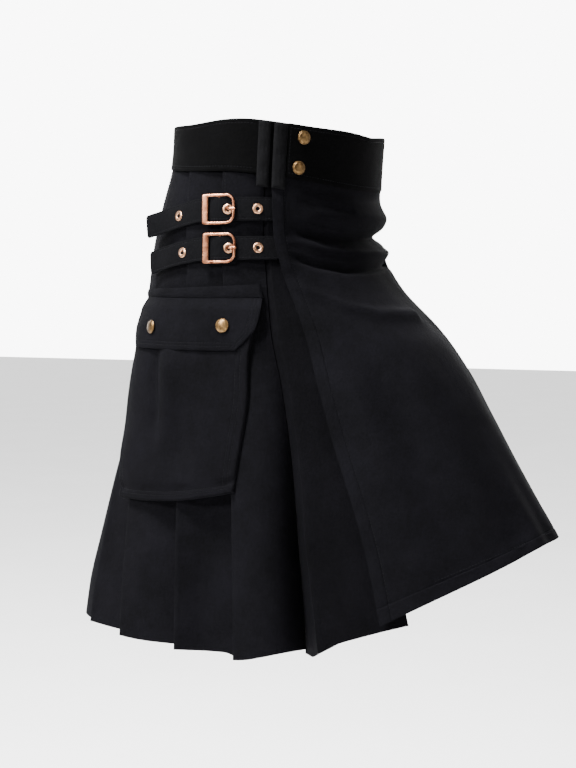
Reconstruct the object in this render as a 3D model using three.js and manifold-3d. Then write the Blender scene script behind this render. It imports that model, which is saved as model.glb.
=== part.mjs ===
// A gothic kilt in black cotton drill, worn shape, millimetres.
// The origin is the middle of the waist. +Z is up, the wearer faces -Y, the wearer's right is -X.
import * as THREE from "three";
import Module from "manifold-3d";

const wasm = await Module();
wasm.setup();

// driving sizes
const WALL = 1.1;
const SEAM = 0.3;
const BAND_WALL = 3;
const BAND_END = 0.1;
const STRAP_WIDTH = 25.4;
const STRAP_WALL = 1.8;
const BUCKLE_LENGTH = 38;
const BUCKLE_HEIGHT = 33;
const BUCKLE_WALL = 2.4;
const EYELET_OUTER = 5.6;
const EYELET_HOLE = 2.7;
const CAP_RADIUS = 7.5;
const LOOP_WALL = 3.2;
const POCKET_DEPTH = 5;
const POCKET_WALL = 1.4;

// the worn shape, level by level from the waist down
// t: share of the way down the cloth, side/front/back: heights there,
// half: half width, reach: how far it comes forward, rear: how far it goes back
const LEVELS = [
  { t: 0.0, side: -3, front: -19, back: 2, half: 148, reach: 116, rear: 105 },
  { t: 0.1, side: -60, front: -78, back: -49, half: 150, reach: 111, rear: 110 },
  { t: 0.17, side: -100, front: -113, back: -92, half: 154, reach: 112, rear: 124 },
  { t: 0.25, side: -145, front: -150, back: -140, half: 158, reach: 115, rear: 137 },
  { t: 0.33, side: -190, front: -190, back: -188, half: 162, reach: 141, rear: 144 },
  { t: 0.42, side: -240, front: -232, back: -240, half: 167, reach: 189, rear: 154 },
  { t: 0.52, side: -296, front: -278, back: -300, half: 173, reach: 228, rear: 168 },
  { t: 0.62, side: -352, front: -324, back: -358, half: 179, reach: 257, rear: 179 },
  { t: 0.72, side: -408, front: -368, back: -416, half: 185, reach: 283, rear: 196 },
  { t: 0.82, side: -466, front: -408, back: -476, half: 191, reach: 306, rear: 213 },
  { t: 0.92, side: -529, front: -442, back: -531, half: 196, reach: 326, rear: 229 },
  { t: 1.0, side: -576, front: -463, back: -573, half: 200, reach: 337, rear: 236 },
];

// the lines that run down the cloth, as angles from the front towards the wearer's right
// edge: the over-apron's free edge, fold: the deep fold beside it, valley: the inside of that fold
const LINES = [
  { t: 0.0, edge: 58.5, fold: 59.5, valley: 61.5 },
  { t: 0.1, edge: 58.2, fold: 59.4, valley: 61.4 },
  { t: 0.2, edge: 57.0, fold: 59.1, valley: 61.3 },
  { t: 0.27, edge: 55.2, fold: 58.9, valley: 61.3 },
  { t: 0.34, edge: 54.6, fold: 61.4, valley: 64.0 },
  { t: 0.41, edge: 56.1, fold: 64.8, valley: 67.4 },
  { t: 0.5, edge: 57.3, fold: 65.2, valley: 67.9 },
  { t: 0.6, edge: 56.9, fold: 65.0, valley: 68.1 },
  { t: 0.82, edge: 54.3, fold: 65.7, valley: 69.3 },
  { t: 1.0, edge: 53.1, fold: 65.0, valley: 69.4 },
];

// the outer folds of the knife pleats on one side, at the band and at the hem
const FOLDS = [
  { top: 84, yoke: 82.5, hem: 81.5 },
  { top: 108, yoke: 102, hem: 95.5 },
  { top: 131, yoke: 130, hem: 116.5 },
  { top: 147, yoke: 143, hem: 137 },
  { top: 162, yoke: 160, hem: 157 },
  { top: 176, yoke: 176.5, hem: 176.5 },
];

// soft creases over the apron, each a run of points with its width in mm and its rise
const CREASES = [
  { wide: 12, rise: -2.4, run: [[50, 0.12], [27, 0.115], [9, 0.114], [-12, 0.118], [-34, 0.12]] },
  { wide: 18, rise: 4.4, run: [[46, 0.164], [26, 0.166], [12, 0.16], [-12, 0.162], [-36, 0.166]] },
  { wide: 14, rise: -9.4, run: [[53, 0.2], [33, 0.213], [18, 0.216], [2, 0.213], [-34, 0.207], [-58, 0.206]] },
  { wide: 11, rise: 4.2, run: [[47, 0.237], [20, 0.247], [6, 0.25], [-34, 0.248]] },
  { wide: 10, rise: -5.2, run: [[53, 0.256], [37, 0.277], [22, 0.286], [2, 0.281], [-34, 0.27]] },
  { wide: 13, rise: 3.2, run: [[55, 0.31], [44, 0.337], [34, 0.366], [22, 0.384], [0, 0.388]] },
  { wide: 26, rise: -2.6, run: [[42, 0.375], [30, 0.405], [16, 0.418], [0, 0.42], [-14, 0.41]] },
];

// the smooth curve through one column of a table
function column(table, key, t) {
  const last = table.length - 1;
  const at = Math.min(Math.max(t, table[0].t), table[last].t);
  let i = 0;
  while (i < last - 1 && at > table[i + 1].t) i += 1;
  const rate = (k) => (table[k + 1][key] - table[k][key]) / (table[k + 1].t - table[k].t);
  const slope = (k) => {
    if (k === 0) return rate(0);
    if (k === last) return rate(last - 1);
    const before = table[k].t - table[k - 1].t;
    const after = table[k + 1].t - table[k].t;
    return (rate(k - 1) * after + rate(k) * before) / (before + after);
  };
  const span = table[i + 1].t - table[i].t;
  const s = (at - table[i].t) / span;
  return (
    (2 * s ** 3 - 3 * s ** 2 + 1) * table[i][key] +
    (s ** 3 - 2 * s ** 2 + s) * span * slope(i) +
    (-2 * s ** 3 + 3 * s ** 2) * table[i + 1][key] +
    (s ** 3 - s ** 2) * span * slope(i + 1)
  );
}

function ease(x) {
  const s = Math.min(Math.max(x, 0), 1);
  return s * s * (3 - 2 * s);
}

function mix(a, b, s) {
  return a + (b - a) * s;
}

// how far a place takes the front's height: the hem is raised between the two deep folds
function frontShare(angle, t) {
  const away = Math.abs(((angle + 540) % 360) - 180);
  const even = away < 90 ? Math.cos((away * Math.PI) / 180) ** 2 : 0;
  const raised = Math.max(0, 1 - Math.min(away / 67, 1) ** 1.9);
  return mix(even, raised, ease((t - 0.25) / 0.6));
}

// a point of the worn shape
function worn(angle, t) {
  const a = (angle * Math.PI) / 180;
  const c = Math.cos(a);
  const side = column(LEVELS, "side", t);
  const depth = c > 0 ? column(LEVELS, "reach", t) : column(LEVELS, "rear", t);
  const height =
    c > 0
      ? mix(side, column(LEVELS, "front", t), frontShare(angle, t))
      : mix(side, column(LEVELS, "back", t), c * c);
  return new THREE.Vector3(-column(LEVELS, "half", t) * Math.sin(a), -depth * c, height);
}

// the outward direction there
function outward(angle, t) {
  const along = worn(angle + 0.5, t).sub(worn(angle - 0.5, t));
  const low = Math.min(t + 0.01, 1);
  const down = worn(angle, low).sub(worn(angle, low - 0.02));
  return along.cross(down).normalize();
}

function off(angle, t, rise) {
  return worn(angle, t).addScaledVector(outward(angle, t), rise);
}

// millimetres for one degree there
function rate(angle, t) {
  return worn(angle + 0.5, t).distanceTo(worn(angle - 0.5, t));
}

// the creases' rise on the apron
function creased(angle, t) {
  let sum = 0;
  for (const crease of CREASES) {
    let best = Infinity;
    let along = 0;
    const count = crease.run.length - 1;
    for (let i = 0; i < count; i += 1) {
      const [a0, t0] = crease.run[i];
      const [a1, t1] = crease.run[i + 1];
      const wide = (a1 - a0) * 2.3;
      const tall = (t1 - t0) * 560;
      const size = wide * wide + tall * tall;
      const s = ((angle - a0) * 2.3 * wide + (t - t0) * 560 * tall) / size;
      const k = Math.min(Math.max(s, 0), 1);
      const gap = Math.hypot((angle - a0) * 2.3 - k * wide, (t - t0) * 560 - k * tall);
      if (gap < best) {
        best = gap;
        along = (i + k) / count;
      }
    }
    const fade = ease((along - 0.02) / 0.16) * (0.62 + 0.62 * along);
    sum += crease.rise * fade * Math.exp(-((best / (crease.wide * 0.6)) ** 2));
  }
  return sum;
}

// one closed body between two grids of points of the same shape
function bodyOf(outer, inner) {
  const rows = outer.length;
  const cols = outer[0].length;
  const points = [];
  for (const grid of [outer, inner]) {
    for (const row of grid) {
      for (const p of row) points.push(p.x, p.y, p.z);
    }
  }
  const at = (side, i, j) => side * rows * cols + i * cols + j;
  const faces = [];
  const quad = (a, b, c, d) => faces.push(a, b, c, a, c, d);
  for (let i = 0; i < rows - 1; i += 1) {
    for (let j = 0; j < cols - 1; j += 1) {
      quad(at(0, i, j), at(0, i + 1, j), at(0, i + 1, j + 1), at(0, i, j + 1));
      quad(at(1, i, j), at(1, i, j + 1), at(1, i + 1, j + 1), at(1, i + 1, j));
    }
  }
  for (let i = 0; i < rows - 1; i += 1) {
    quad(at(0, i, 0), at(1, i, 0), at(1, i + 1, 0), at(0, i + 1, 0));
    quad(at(0, i, cols - 1), at(0, i + 1, cols - 1), at(1, i + 1, cols - 1), at(1, i, cols - 1));
  }
  for (let j = 0; j < cols - 1; j += 1) {
    quad(at(0, 0, j), at(0, 0, j + 1), at(1, 0, j + 1), at(1, 0, j));
    quad(at(0, rows - 1, j), at(1, rows - 1, j), at(1, rows - 1, j + 1), at(0, rows - 1, j + 1));
  }
  return facingOut(points, faces);
}

function facingOut(points, faces) {
  let volume = 0;
  const corner = (i) => new THREE.Vector3(points[3 * i], points[3 * i + 1], points[3 * i + 2]);
  for (let i = 0; i < faces.length; i += 3) {
    const a = corner(faces[i]);
    volume += a.dot(corner(faces[i + 1]).cross(corner(faces[i + 2])));
  }
  if (volume < 0) {
    for (let i = 0; i < faces.length; i += 3) {
      [faces[i + 1], faces[i + 2]] = [faces[i + 2], faces[i + 1]];
    }
  }
  const geometry = new THREE.BufferGeometry();
  geometry.setAttribute("position", new THREE.Float32BufferAttribute(points, 3));
  geometry.setIndex(faces);
  geometry.computeVertexNormals();
  return geometry;
}

const COLOURS = {
  drill: { color: 0x1a1b20, roughness: 0.92, metalness: 0 },
  band: { color: 0x18191d, roughness: 0.9, metalness: 0 },
  copper: { color: 0xa06a4a, roughness: 0.35, metalness: 1 },
  brass: { color: 0x8d7a5c, roughness: 0.4, metalness: 1 },
};
const kilt = new THREE.Group();
kilt.name = "gothic_kilt";

function add(name, geometry, colour) {
  const mesh = new THREE.Mesh(geometry, new THREE.MeshStandardMaterial(COLOURS[colour]));
  mesh.name = name;
  kilt.add(mesh);
  return mesh;
}

function mirrored(geometry) {
  const copy = geometry.clone().applyMatrix4(new THREE.Matrix4().makeScale(-1, 1, 1));
  return facingOut(Array.from(copy.getAttribute("position").array), Array.from(copy.index.array));
}

// cloth cut as a strip: its middle line at each level is a run of [angle, rise]
// drop says how far a place hangs lower than its level
function strip(levels, lineAt, wall, drop = () => 0) {
  const outer = [];
  const inner = [];
  for (const t of levels) {
    const line = lineAt(t);
    const flat = line.map(([angle, rise]) => [-angle * rate(angle, t), rise]);
    const outerRow = [];
    const innerRow = [];
    line.forEach(([angle, rise], i) => {
      const scale = rate(angle, t);
      const step = (k) => {
        const x = (line[k][0] - line[k + 1][0]) * scale;
        const y = line[k + 1][1] - line[k][1];
        const size = Math.hypot(x, y);
        return [x / size, y / size];
      };
      const before = i > 0 ? step(i - 1) : step(0);
      const after = i < flat.length - 1 ? step(i) : step(flat.length - 2);
      let nx = -(before[1] + after[1]);
      let ny = before[0] + after[0];
      const size = Math.hypot(nx, ny);
      nx /= size;
      ny /= size;
      const mitre = Math.min(1 / Math.max(nx * -before[1] + ny * before[0], 0.4), 1.5);
      const half = (wall / 2) * mitre;
      const lower = new THREE.Vector3(0, 0, -drop(angle, t));
      outerRow.push(off(angle - (nx * half) / scale, t, rise + ny * half).add(lower));
      innerRow.push(off(angle + (nx * half) / scale, t, rise - ny * half).add(lower));
    });
    outer.push(outerRow);
    inner.push(innerRow);
  }
  return bodyOf(outer, inner);
}

// levels of the cloth below the band
const SKIRT_TOP = BAND_END + 0.0006;
const PLEAT_LEVELS = [SKIRT_TOP, 0.15, 0.2, 0.26, 0.33, 0.42, 0.52, 0.62, 0.72, 0.82, 0.91, 1];
const APRON_LEVELS = [
  SKIRT_TOP, 0.118, 0.136, 0.156, 0.176, 0.194, 0.208, 0.222, 0.238, 0.254,
  0.27, 0.288, 0.31, 0.335, 0.365, 0.4, 0.45, 0.52, 0.6, 0.7, 0.8, 0.9, 1,
];

function foldAngle(fold, t) {
  const low = mix(fold.top, fold.yoke, ease((t - 0.1) / 0.22));
  return mix(low, fold.hem, ease((t - 0.3) / 0.75));
}

// the pleats stand closed over the hip and open towards the hem
const turnAt = (t) => mix(1.6, 2.6, ease((t - 0.25) / 0.75));
const depthAt = (t) => 2 * turnAt(t) + 0.15 + 22 * ease((t - 0.26) / 0.8);
const lapAt = (t) => mix(13, 27, ease((t - 0.15) / 0.8));

// one outer fold: the turn from the return under it to the face
function turnOver(line, angle, t) {
  const turn = turnAt(t);
  line.push([angle, -turn]);
  line.push([angle + turn / 2 / rate(angle, t), -turn / 2]);
  line.push([angle, 0]);
}

// the face from one fold to just past the next, with the inner fold at its end
function faceTo(line, from, to, t, closeIt) {
  const turn = turnAt(t);
  const depth = depthAt(t);
  const lap = lapAt(t) / rate(to, t);
  const width = from - to;
  const under = Math.max(2 * turn, (depth * width) / (width + lap));
  for (const share of [0.25, 0.5, 0.75, 1]) {
    line.push([mix(from, to, share), -under * share]);
  }
  line.push([to - lap, -depth]);
  if (closeIt) {
    line.push([to - lap - turn / 2 / rate(to, t), -depth + turn / 2]);
    line.push([to - lap, -depth + turn]);
  }
}

function pleatsRight(t) {
  const turn = turnAt(t);
  const third = foldAngle(FOLDS[2], t);
  const second = foldAngle(FOLDS[1], t);
  const first = foldAngle(FOLDS[0], t);
  const line = [[third - lapAt(t) / rate(third, t), -depthAt(t) + turn]];
  turnOver(line, third, t);
  faceTo(line, third, second, t, true);
  turnOver(line, second, t);
  faceTo(line, second, first, t, true);
  turnOver(line, first, t);
  const valley = column(LINES, "valley", t);
  const end = valley + VALLEY_GAP / rate(valley, t);
  const bend = mix(1.2, 4.2, ease((t - 0.3) / 0.35));
  for (const share of [0.3, 0.52, 0.68, 0.8, 0.91, 1]) {
    line.push([mix(first, end, share), -valleyDepth(t) * share ** bend]);
  }
  return line;
}

const VALLEY_GAP = 0.8;
function valleyDepth(t) {
  return 3.3 + 42 * ease((t - 0.28) / 0.78);
}

// one half of the back, from the seam down its middle
function pleatsBack(t) {
  const turn = turnAt(t);
  const right = [];
  const [third, fourth, fifth, sixth] = FOLDS.slice(2).map((fold) => foldAngle(fold, t));
  const lap = lapAt(t) / rate(sixth, t);
  right.push([180 - SEAM / 2 / rate(180, t), -depthAt(t)]);
  right.push([sixth - lap * 0.5, -depthAt(t)]);
  right.push([sixth - lap, -depthAt(t)]);
  right.push([sixth - lap - turn / 2 / rate(sixth, t), -depthAt(t) + turn / 2]);
  right.push([sixth - lap, -depthAt(t) + turn]);
  turnOver(right, sixth, t);
  faceTo(right, sixth, fifth, t, true);
  turnOver(right, fifth, t);
  faceTo(right, fifth, fourth, t, true);
  turnOver(right, fourth, t);
  faceTo(right, fourth, third, t, false);
  return right;
}

// the first pleat hangs a little lower at its fold and higher in the valley
function rightDrop(angle, t) {
  const first = mix(-5, 6.5, ease((angle - 70) / 12));
  const second = mix(first, 2, ease((angle - 82) / 3));
  return mix(second, -1.5, ease((angle - 95.5) / 3)) * ease((t - 0.8) / 0.2);
}
add("pleats_right", strip(PLEAT_LEVELS, pleatsRight, WALL, rightDrop), "drill");
const backDrop = (angle, t) => -3 * ease((150 - angle) / 14) * ease((t - 0.8) / 0.2);
add("pleats_back_right", strip(PLEAT_LEVELS, pleatsBack, WALL, backDrop), "drill");
for (const name of ["pleats_back", "pleats"]) {
  add(name + "_left", mirrored(kilt.getObjectByName(name + "_right").geometry), "drill");
}

// the under-apron: up out of the valley, over the deep fold and on under the free edge
function underApron(t) {
  const valley = column(LINES, "valley", t);
  const fold = column(LINES, "fold", t);
  const edge = column(LINES, "edge", t);
  const start = valley - VALLEY_GAP / rate(valley, t);
  const high = -1.5;
  const low = mix(-1.5, -7.5, ease((t - 0.12) / 0.75));
  const line = [[start, -valleyDepth(t)]];
  line.push([mix(start, fold, 0.5), mix(-valleyDepth(t), high, 0.5)]);
  line.push([fold + 0.25, high - 0.25]);
  line.push([fold - 0.35, high]);
  line.push([mix(fold, edge, 0.5), mix(high, low, 0.5)]);
  line.push([edge, low]);
  const under = mix(2.6, 6, ease((t - 0.3) / 0.4));
  line.push([edge - under / 2, low]);
  line.push([edge - under, low]);
  return line;
}
const underDrop = (angle, t) => 1.25 * Math.max(0, 61.2 - angle) * ease((t - 0.8) / 0.2);
add("under_apron", strip(PLEAT_LEVELS, underApron, WALL, underDrop), "drill");

// the over-apron: from its free edge over the front to the fold at the wearer's left
const apronRise = (t) => 0.5 + 0.9 * (1 - ease((t - 0.1) / 0.14));
const strapRows = (t) => ease((t - 0.128) / 0.02) * ease((0.31 - t) / 0.03);
const overStraps = (inside, t) => (2.9 - apronRise(t)) * ease((9 - inside) / 6) * strapRows(t);
const APRON_SHARES = Array.from({ length: 23 }, (_, i) => i / 22);
function overApron(t) {
  const edge = column(LINES, "edge", t);
  const fold = -column(LINES, "fold", t);
  const valley = -column(LINES, "valley", t);
  const line = APRON_SHARES.map((share) => {
    const angle = mix(edge, fold + 0.7, share);
    return [angle, apronRise(t) + creased(angle, t) + overStraps(edge - angle, t)];
  });
  line.push([fold - 0.25, apronRise(t) - 0.3]);
  const end = valley + VALLEY_GAP / rate(valley, t);
  line.push([mix(fold, end, 0.5), mix(apronRise(t), -valleyDepth(t), 0.5)]);
  line.push([end, -valleyDepth(t)]);
  return line;
}
// its hem hangs a little lower by the free edge
function apronDrop(angle, t) {
  const low = mix(3.5, -3.5, ease((36 - angle) / 44)) - 3.5 * ease((-50 - angle) / 14);
  return low * ease((t - 0.7) / 0.3);
}
add("front_apron", strip(APRON_LEVELS, overApron, WALL, apronDrop), "drill");

// the band: under the overlap, round the right hip and the back to the left side, then over the front
const BAND_LEVELS = [0.0, 0.012, 0.05, 0.088, BAND_END];
const BAND_SEAM = -84;
function run(from, to, count) {
  return Array.from({ length: count + 1 }, (_, i) => mix(from, to, i / count));
}
function bandBack() {
  const under = run(26, 76, 12).map((a) => [a, mix(-1.5, 0.35, ease((a - 54) / 20))]);
  const round = run(82, 360 + BAND_SEAM, 30).map((a) => [a, 0.35]);
  return under.concat(round).reverse();
}
function bandFront() {
  const angles = run(51.2, BAND_SEAM + 0.12, 30);
  return angles.map((a) => [a, mix(2.15, 0.35, ease((20 - a) / 90))]);
}
// the band's top dips from the sides round the back
function topDip(angle, t) {
  const away = Math.abs(((angle + 540) % 360) - 180);
  const dip = 6.5 * ease((away - 68) / 45) - 2.6 * Math.exp(-(((away - 18) / 17) ** 2));
  return dip * ease((0.075 - t) / 0.075);
}
function banded(lineOf) {
  return strip(BAND_LEVELS, lineOf, BAND_WALL, topDip);
}
add("waistband_back", banded(bandBack), "band");
add("waistband_front", banded(bandFront), "band");

// belt loops: flat tubes of cloth sewn over the band, standing a little past both its edges
function beltLoop(left, right, seat) {
  const levels = [0.001, 0.008, 0.03, 0.06, 0.09, 0.112, 0.126];
  const shares = [0, 0.12, 0.35, 0.65, 0.88, 1];
  const crown = [0.45, 0.85, 1, 1, 0.85, 0.45];
  const outer = [];
  const inner = [];
  levels.forEach((t, i) => {
    const rounded = i === 0 || i === levels.length - 1 ? 0.6 : 1;
    const place = (s, rise) => {
      const angle = mix(left, right, s);
      return off(angle, t, rise).sub(new THREE.Vector3(0, 0, topDip(angle, t)));
    };
    outer.push(shares.map((s, j) => place(s, seat(t) + LOOP_WALL * crown[j] * rounded)));
    inner.push(shares.map((s) => place(s, seat(t))));
  });
  return bodyOf(outer, inner);
}
const plainSeat = () => 0.35 + BAND_WALL / 2 + SEAM + 0.25;
const overSeat = (t) => mix(2.3, 2.35, t);
const LOOPS = [
  { name: "belt_loop_right_a", from: 66.0, to: 59.8, seat: () => 1.6 },
  { name: "belt_loop_right_b", from: 58.3, to: 51.5, seat: overSeat },
  { name: "belt_loop_back_right", from: 171.5, to: 165.5, seat: plainSeat },
  { name: "belt_loop_back_left", from: -165.5, to: -171.5, seat: plainSeat },
  { name: "belt_loop_left_a", from: -62.5, to: -68.5, seat: () => 2.3 },
  { name: "belt_loop_left_b", from: -52, to: -58, seat: () => 2.5 },
];
for (const loop of LOOPS) add(loop.name, beltLoop(loop.from, loop.to, loop.seat), "band");

// straps: each a run of places with the angle, the height of its middle and its rise
const STRAPS = {
  upper: [
    { s: 0, angle: 54.2, height: -102, rise: 0.25 },
    { s: 1, angle: 57.6, height: -102, rise: 0.35 },
    { s: 2, angle: 61.5, height: -102, rise: 1.5 },
    { s: 3, angle: 68, height: -102, rise: 2.9 },
    { s: 4, angle: 95, height: -103, rise: 3.0 },
    { s: 5, angle: 104, height: -106, rise: 3.0 },
    { s: 6, angle: 113, height: -110, rise: 4.7 },
    { s: 7, angle: 121, height: -115, rise: 10 },
    { s: 8, angle: 128, height: -120, rise: 19.5 },
  ],
  lower: [
    { s: 0, angle: 52.6, height: -144, rise: 0.55 },
    { s: 1, angle: 56, height: -144, rise: 0.7 },
    { s: 2, angle: 60.5, height: -144, rise: 1.85 },
    { s: 3, angle: 68, height: -144, rise: 2.9 },
    { s: 4, angle: 93, height: -145, rise: 3.0 },
    { s: 5, angle: 103, height: -148, rise: 3.0 },
    { s: 6, angle: 113, height: -152, rise: 3.4 },
    { s: 7, angle: 121, height: -156, rise: 5 },
    { s: 8, angle: 127.5, height: -160, rise: 9 },
  ],
};
const STRAP_LAST = 8;
const BUCKLE_AT = { upper: 85.2, lower: 84.1 };
const BAR_TOP = 5.05;
const FRAME_RISE = 3.65;
const SIDE_CURVE = 180;
const EYELETS = { upper: [64.9, 80.2, 109.7], lower: [64.4, 79.1, 104.8] };

// height of a level by angle
function levelAt(angle, height) {
  let t = 0.2;
  for (let i = 0; i < 40; i += 1) t += (worn(angle, t).z - height) / 560;
  return t;
}

function strapMiddle(key, s) {
  const table = STRAPS[key].map((row) => ({ ...row, t: row.s }));
  const angle = column(table, "angle", s);
  const height = column(table, "height", s);
  const t = levelAt(angle, height);
  const rise = column(table, "rise", s);
  return { angle, height, t, rise: strapRise((BUCKLE_AT[key] - angle) * rate(angle, t), rise) };
}

// near the buckle the strap runs straight down from the bar to under the frame's two sides
function strapRise(x, plain) {
  const span = x > 0 ? 12.5 : 11;
  const fall = x > 0 ? 0.27 : 0.31;
  const away = Math.abs(x);
  const near = Math.min(away, span);
  const straight = BAR_TOP - fall * Math.max(near - 1.8, 0) + (near * near) / SIDE_CURVE;
  return mix(straight, plain, ease((away - span) / 8));
}

// the strap's place at an angle
function strapAt(key, angle) {
  let low = 0;
  let high = STRAP_LAST;
  for (let i = 0; i < 40; i += 1) {
    const middle = (low + high) / 2;
    if (strapMiddle(key, middle).angle > angle) high = middle;
    else low = middle;
  }
  return strapMiddle(key, low);
}

function strapFrame(key, angle) {
  const here = strapAt(key, angle);
  const ahead = strapAt(key, angle - 0.6);
  const behind = strapAt(key, angle + 0.6);
  const place = (q) => {
    const p = off(q.angle, q.t, q.rise);
    p.z = q.height;
    return p;
  };
  const forward = place(ahead).sub(place(behind)).normalize();
  const out = outward(here.angle, here.t);
  out.addScaledVector(forward, -out.dot(forward)).normalize();
  const up = new THREE.Vector3().crossVectors(out, forward);
  return new THREE.Matrix4().makeBasis(forward, up, out).setPosition(place(here));
}

function strapAngles(key) {
  const first = STRAPS[key][0].angle;
  const last = STRAPS[key][STRAP_LAST].angle;
  const middle = BUCKLE_AT[key];
  const near = [-9.6, -7.4, -4.6, -2.4, -0.9, 0, 0.9, 2.2, 4.2, 6.2, 8.2];
  const angles = run(first, middle - 11.6, 8).concat(near.map((d) => middle + d));
  return angles.concat(run(middle + 10.4, last, 9));
}

function strapBody(key) {
  const outer = [];
  const inner = [];
  const half = STRAP_WIDTH / 2;
  const angles = strapAngles(key);
  angles.forEach((angle, i) => {
    const matrix = strapFrame(key, Math.min(angle, STRAPS[key][STRAP_LAST].angle - 0.7));
    if (angle > STRAPS[key][STRAP_LAST].angle - 0.7) {
      const slide = (angle - STRAPS[key][STRAP_LAST].angle + 0.7) * rate(angle, 0.2);
      matrix.multiply(new THREE.Matrix4().makeTranslation(-slide, 0, 0));
    }
    const corner = i === angles.length - 1 ? 1.6 : i < 2 ? 4.5 : 0;
    const slide = matrix.clone().invert();
    const row = (z) =>
      [-half + corner, 0, half - corner].map((y) => {
        const q = new THREE.Vector3(0, y, z).applyMatrix4(matrix);
        const here = strapAt(key, angle);
        const seat = off(angle, levelAt(angle, here.height + y), here.rise).applyMatrix4(slide);
        const plain = off(angle, here.t, here.rise).applyMatrix4(slide);
        return q.addScaledVector(new THREE.Vector3().setFromMatrixColumn(matrix, 2), seat.z - plain.z);
      });
    outer.push(row(STRAP_WALL / 2));
    inner.push(row(-STRAP_WALL / 2));
  });
  return bodyOf(outer, inner);
}

// turned shapes from a closed profile of [radius, height]
function turned(profile, segments) {
  const points = [];
  const faces = [];
  const count = profile.length;
  for (let i = 0; i < segments; i += 1) {
    const a = (i / segments) * 2 * Math.PI;
    for (const [radius, height] of profile) {
      points.push(radius * Math.cos(a), radius * Math.sin(a), height);
    }
  }
  for (let i = 0; i < segments; i += 1) {
    const next = (i + 1) % segments;
    for (let j = 0; j < count; j += 1) {
      const k = (j + 1) % count;
      const a = i * count + j;
      const b = next * count + j;
      const c = next * count + k;
      const d = i * count + k;
      faces.push(a, b, c, a, c, d);
    }
  }
  return facingOut(points, faces);
}

// a cap: a dome on a rim, closed under
function capGeometry(radius) {
  const rings = [
    [radius * 0.985, 0],
    [radius, 0.7],
    [radius * 0.93, 1.6],
    [radius * 0.72, 2.2],
    [radius * 0.4, 2.6],
  ];
  const segments = 20;
  const points = [];
  const faces = [];
  for (const [r, z] of rings) {
    for (let i = 0; i < segments; i += 1) {
      const a = (i / segments) * 2 * Math.PI;
      points.push(r * Math.cos(a), r * Math.sin(a), z);
    }
  }
  const low = points.length / 3;
  points.push(0, 0, 0);
  points.push(0, 0, 2.75);
  for (let i = 0; i < segments; i += 1) {
    const next = (i + 1) % segments;
    for (let k = 0; k < rings.length - 1; k += 1) {
      const a = k * segments + i;
      const b = k * segments + next;
      faces.push(a, b, b + segments, a, b + segments, a + segments);
    }
    const top = (rings.length - 1) * segments;
    faces.push(low, next, i);
    faces.push(top + i, top + next, low + 1);
  }
  return facingOut(points, faces);
}

function toManifold(geometry) {
  return new wasm.Manifold(
    new wasm.Mesh({
      numProp: 3,
      vertProperties: new Float32Array(geometry.getAttribute("position").array),
      triVerts: new Uint32Array(geometry.index.array),
    }),
  );
}

function fromManifold(solid) {
  const mesh = solid.getMesh();
  const geometry = new THREE.BufferGeometry();
  geometry.setAttribute("position", new THREE.Float32BufferAttribute(mesh.vertProperties, 3));
  geometry.setIndex(Array.from(mesh.triVerts));
  geometry.computeVertexNormals();
  return geometry;
}

for (const key of ["upper", "lower"]) {
  let strap = toManifold(strapBody(key));
  EYELETS[key].forEach((angle, i) => {
    const matrix = strapFrame(key, angle);
    const drill = new THREE.Matrix4().makeRotationX(Math.PI / 2);
    const rod = new THREE.CylinderGeometry(EYELET_HOLE, EYELET_HOLE, 8, 14).applyMatrix4(drill);
    rod.applyMatrix4(matrix);
    rod.deleteAttribute("uv");
    rod.deleteAttribute("normal");
    strap = strap.subtract(toManifold(welded(rod)));
    const low = STRAP_WALL / 2 + SEAM + (i === 1 ? 0.25 : 0);
    const ring = turned(
      [
        [EYELET_HOLE, low],
        [EYELET_OUTER, low],
        [EYELET_OUTER - 0.3, low + 0.45],
        [EYELET_OUTER - 1.4, low + 0.9],
        [EYELET_HOLE + 0.5, low + 0.75],
      ],
      18,
    );
    ring.applyMatrix4(matrix);
    add("eyelet_" + key + "_" + (i + 1), ring, "brass");
  });
  add("strap_" + key, fromManifold(strap), "drill");
}

function welded(geometry) {
  const flat = geometry.index ? geometry.toNonIndexed() : geometry;
  const position = flat.getAttribute("position");
  const seen = new Map();
  const points = [];
  const faces = [];
  for (let i = 0; i < position.count; i += 1) {
    const p = [position.getX(i), position.getY(i), position.getZ(i)];
    const name = p.map((v) => Math.round(v * 1e4)).join(" ");
    if (!seen.has(name)) {
      seen.set(name, points.length / 3);
      points.push(...p);
    }
    faces.push(seen.get(name));
  }
  const kept = [];
  for (let i = 0; i < faces.length; i += 3) {
    const [a, b, c] = faces.slice(i, i + 3);
    if (a !== b && b !== c && c !== a) kept.push(a, b, c);
  }
  return facingOut(points, kept);
}

// a flat plate between two heights from a ring of corners
function plateOf(corners, low, high) {
  const points = [];
  const faces = [];
  const count = corners.length;
  for (const z of [low, high]) {
    for (const [x, y] of corners) points.push(x, y, z);
  }
  const flat = corners.map(([x, y]) => new THREE.Vector2(x, y));
  for (const [i, j, k] of THREE.ShapeUtils.triangulateShape(flat, [])) {
    faces.push(i, k, j, i + count, j + count, k + count);
  }
  for (let i = 0; i < count; i += 1) {
    const j = (i + 1) % count;
    faces.push(i, j, j + count, i, j + count, i + count);
  }
  return facingOut(points, faces);
}

// a quarter of an ellipse round a corner, from angle a by a quarter turn
function cornerArc(x, y, rx, ry, a, count) {
  return Array.from({ length: count + 1 }, (_, i) => {
    const turn = a + ((i / count) * Math.PI) / 2;
    return [x + rx * Math.cos(turn), y + ry * Math.sin(turn)];
  });
}

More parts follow.
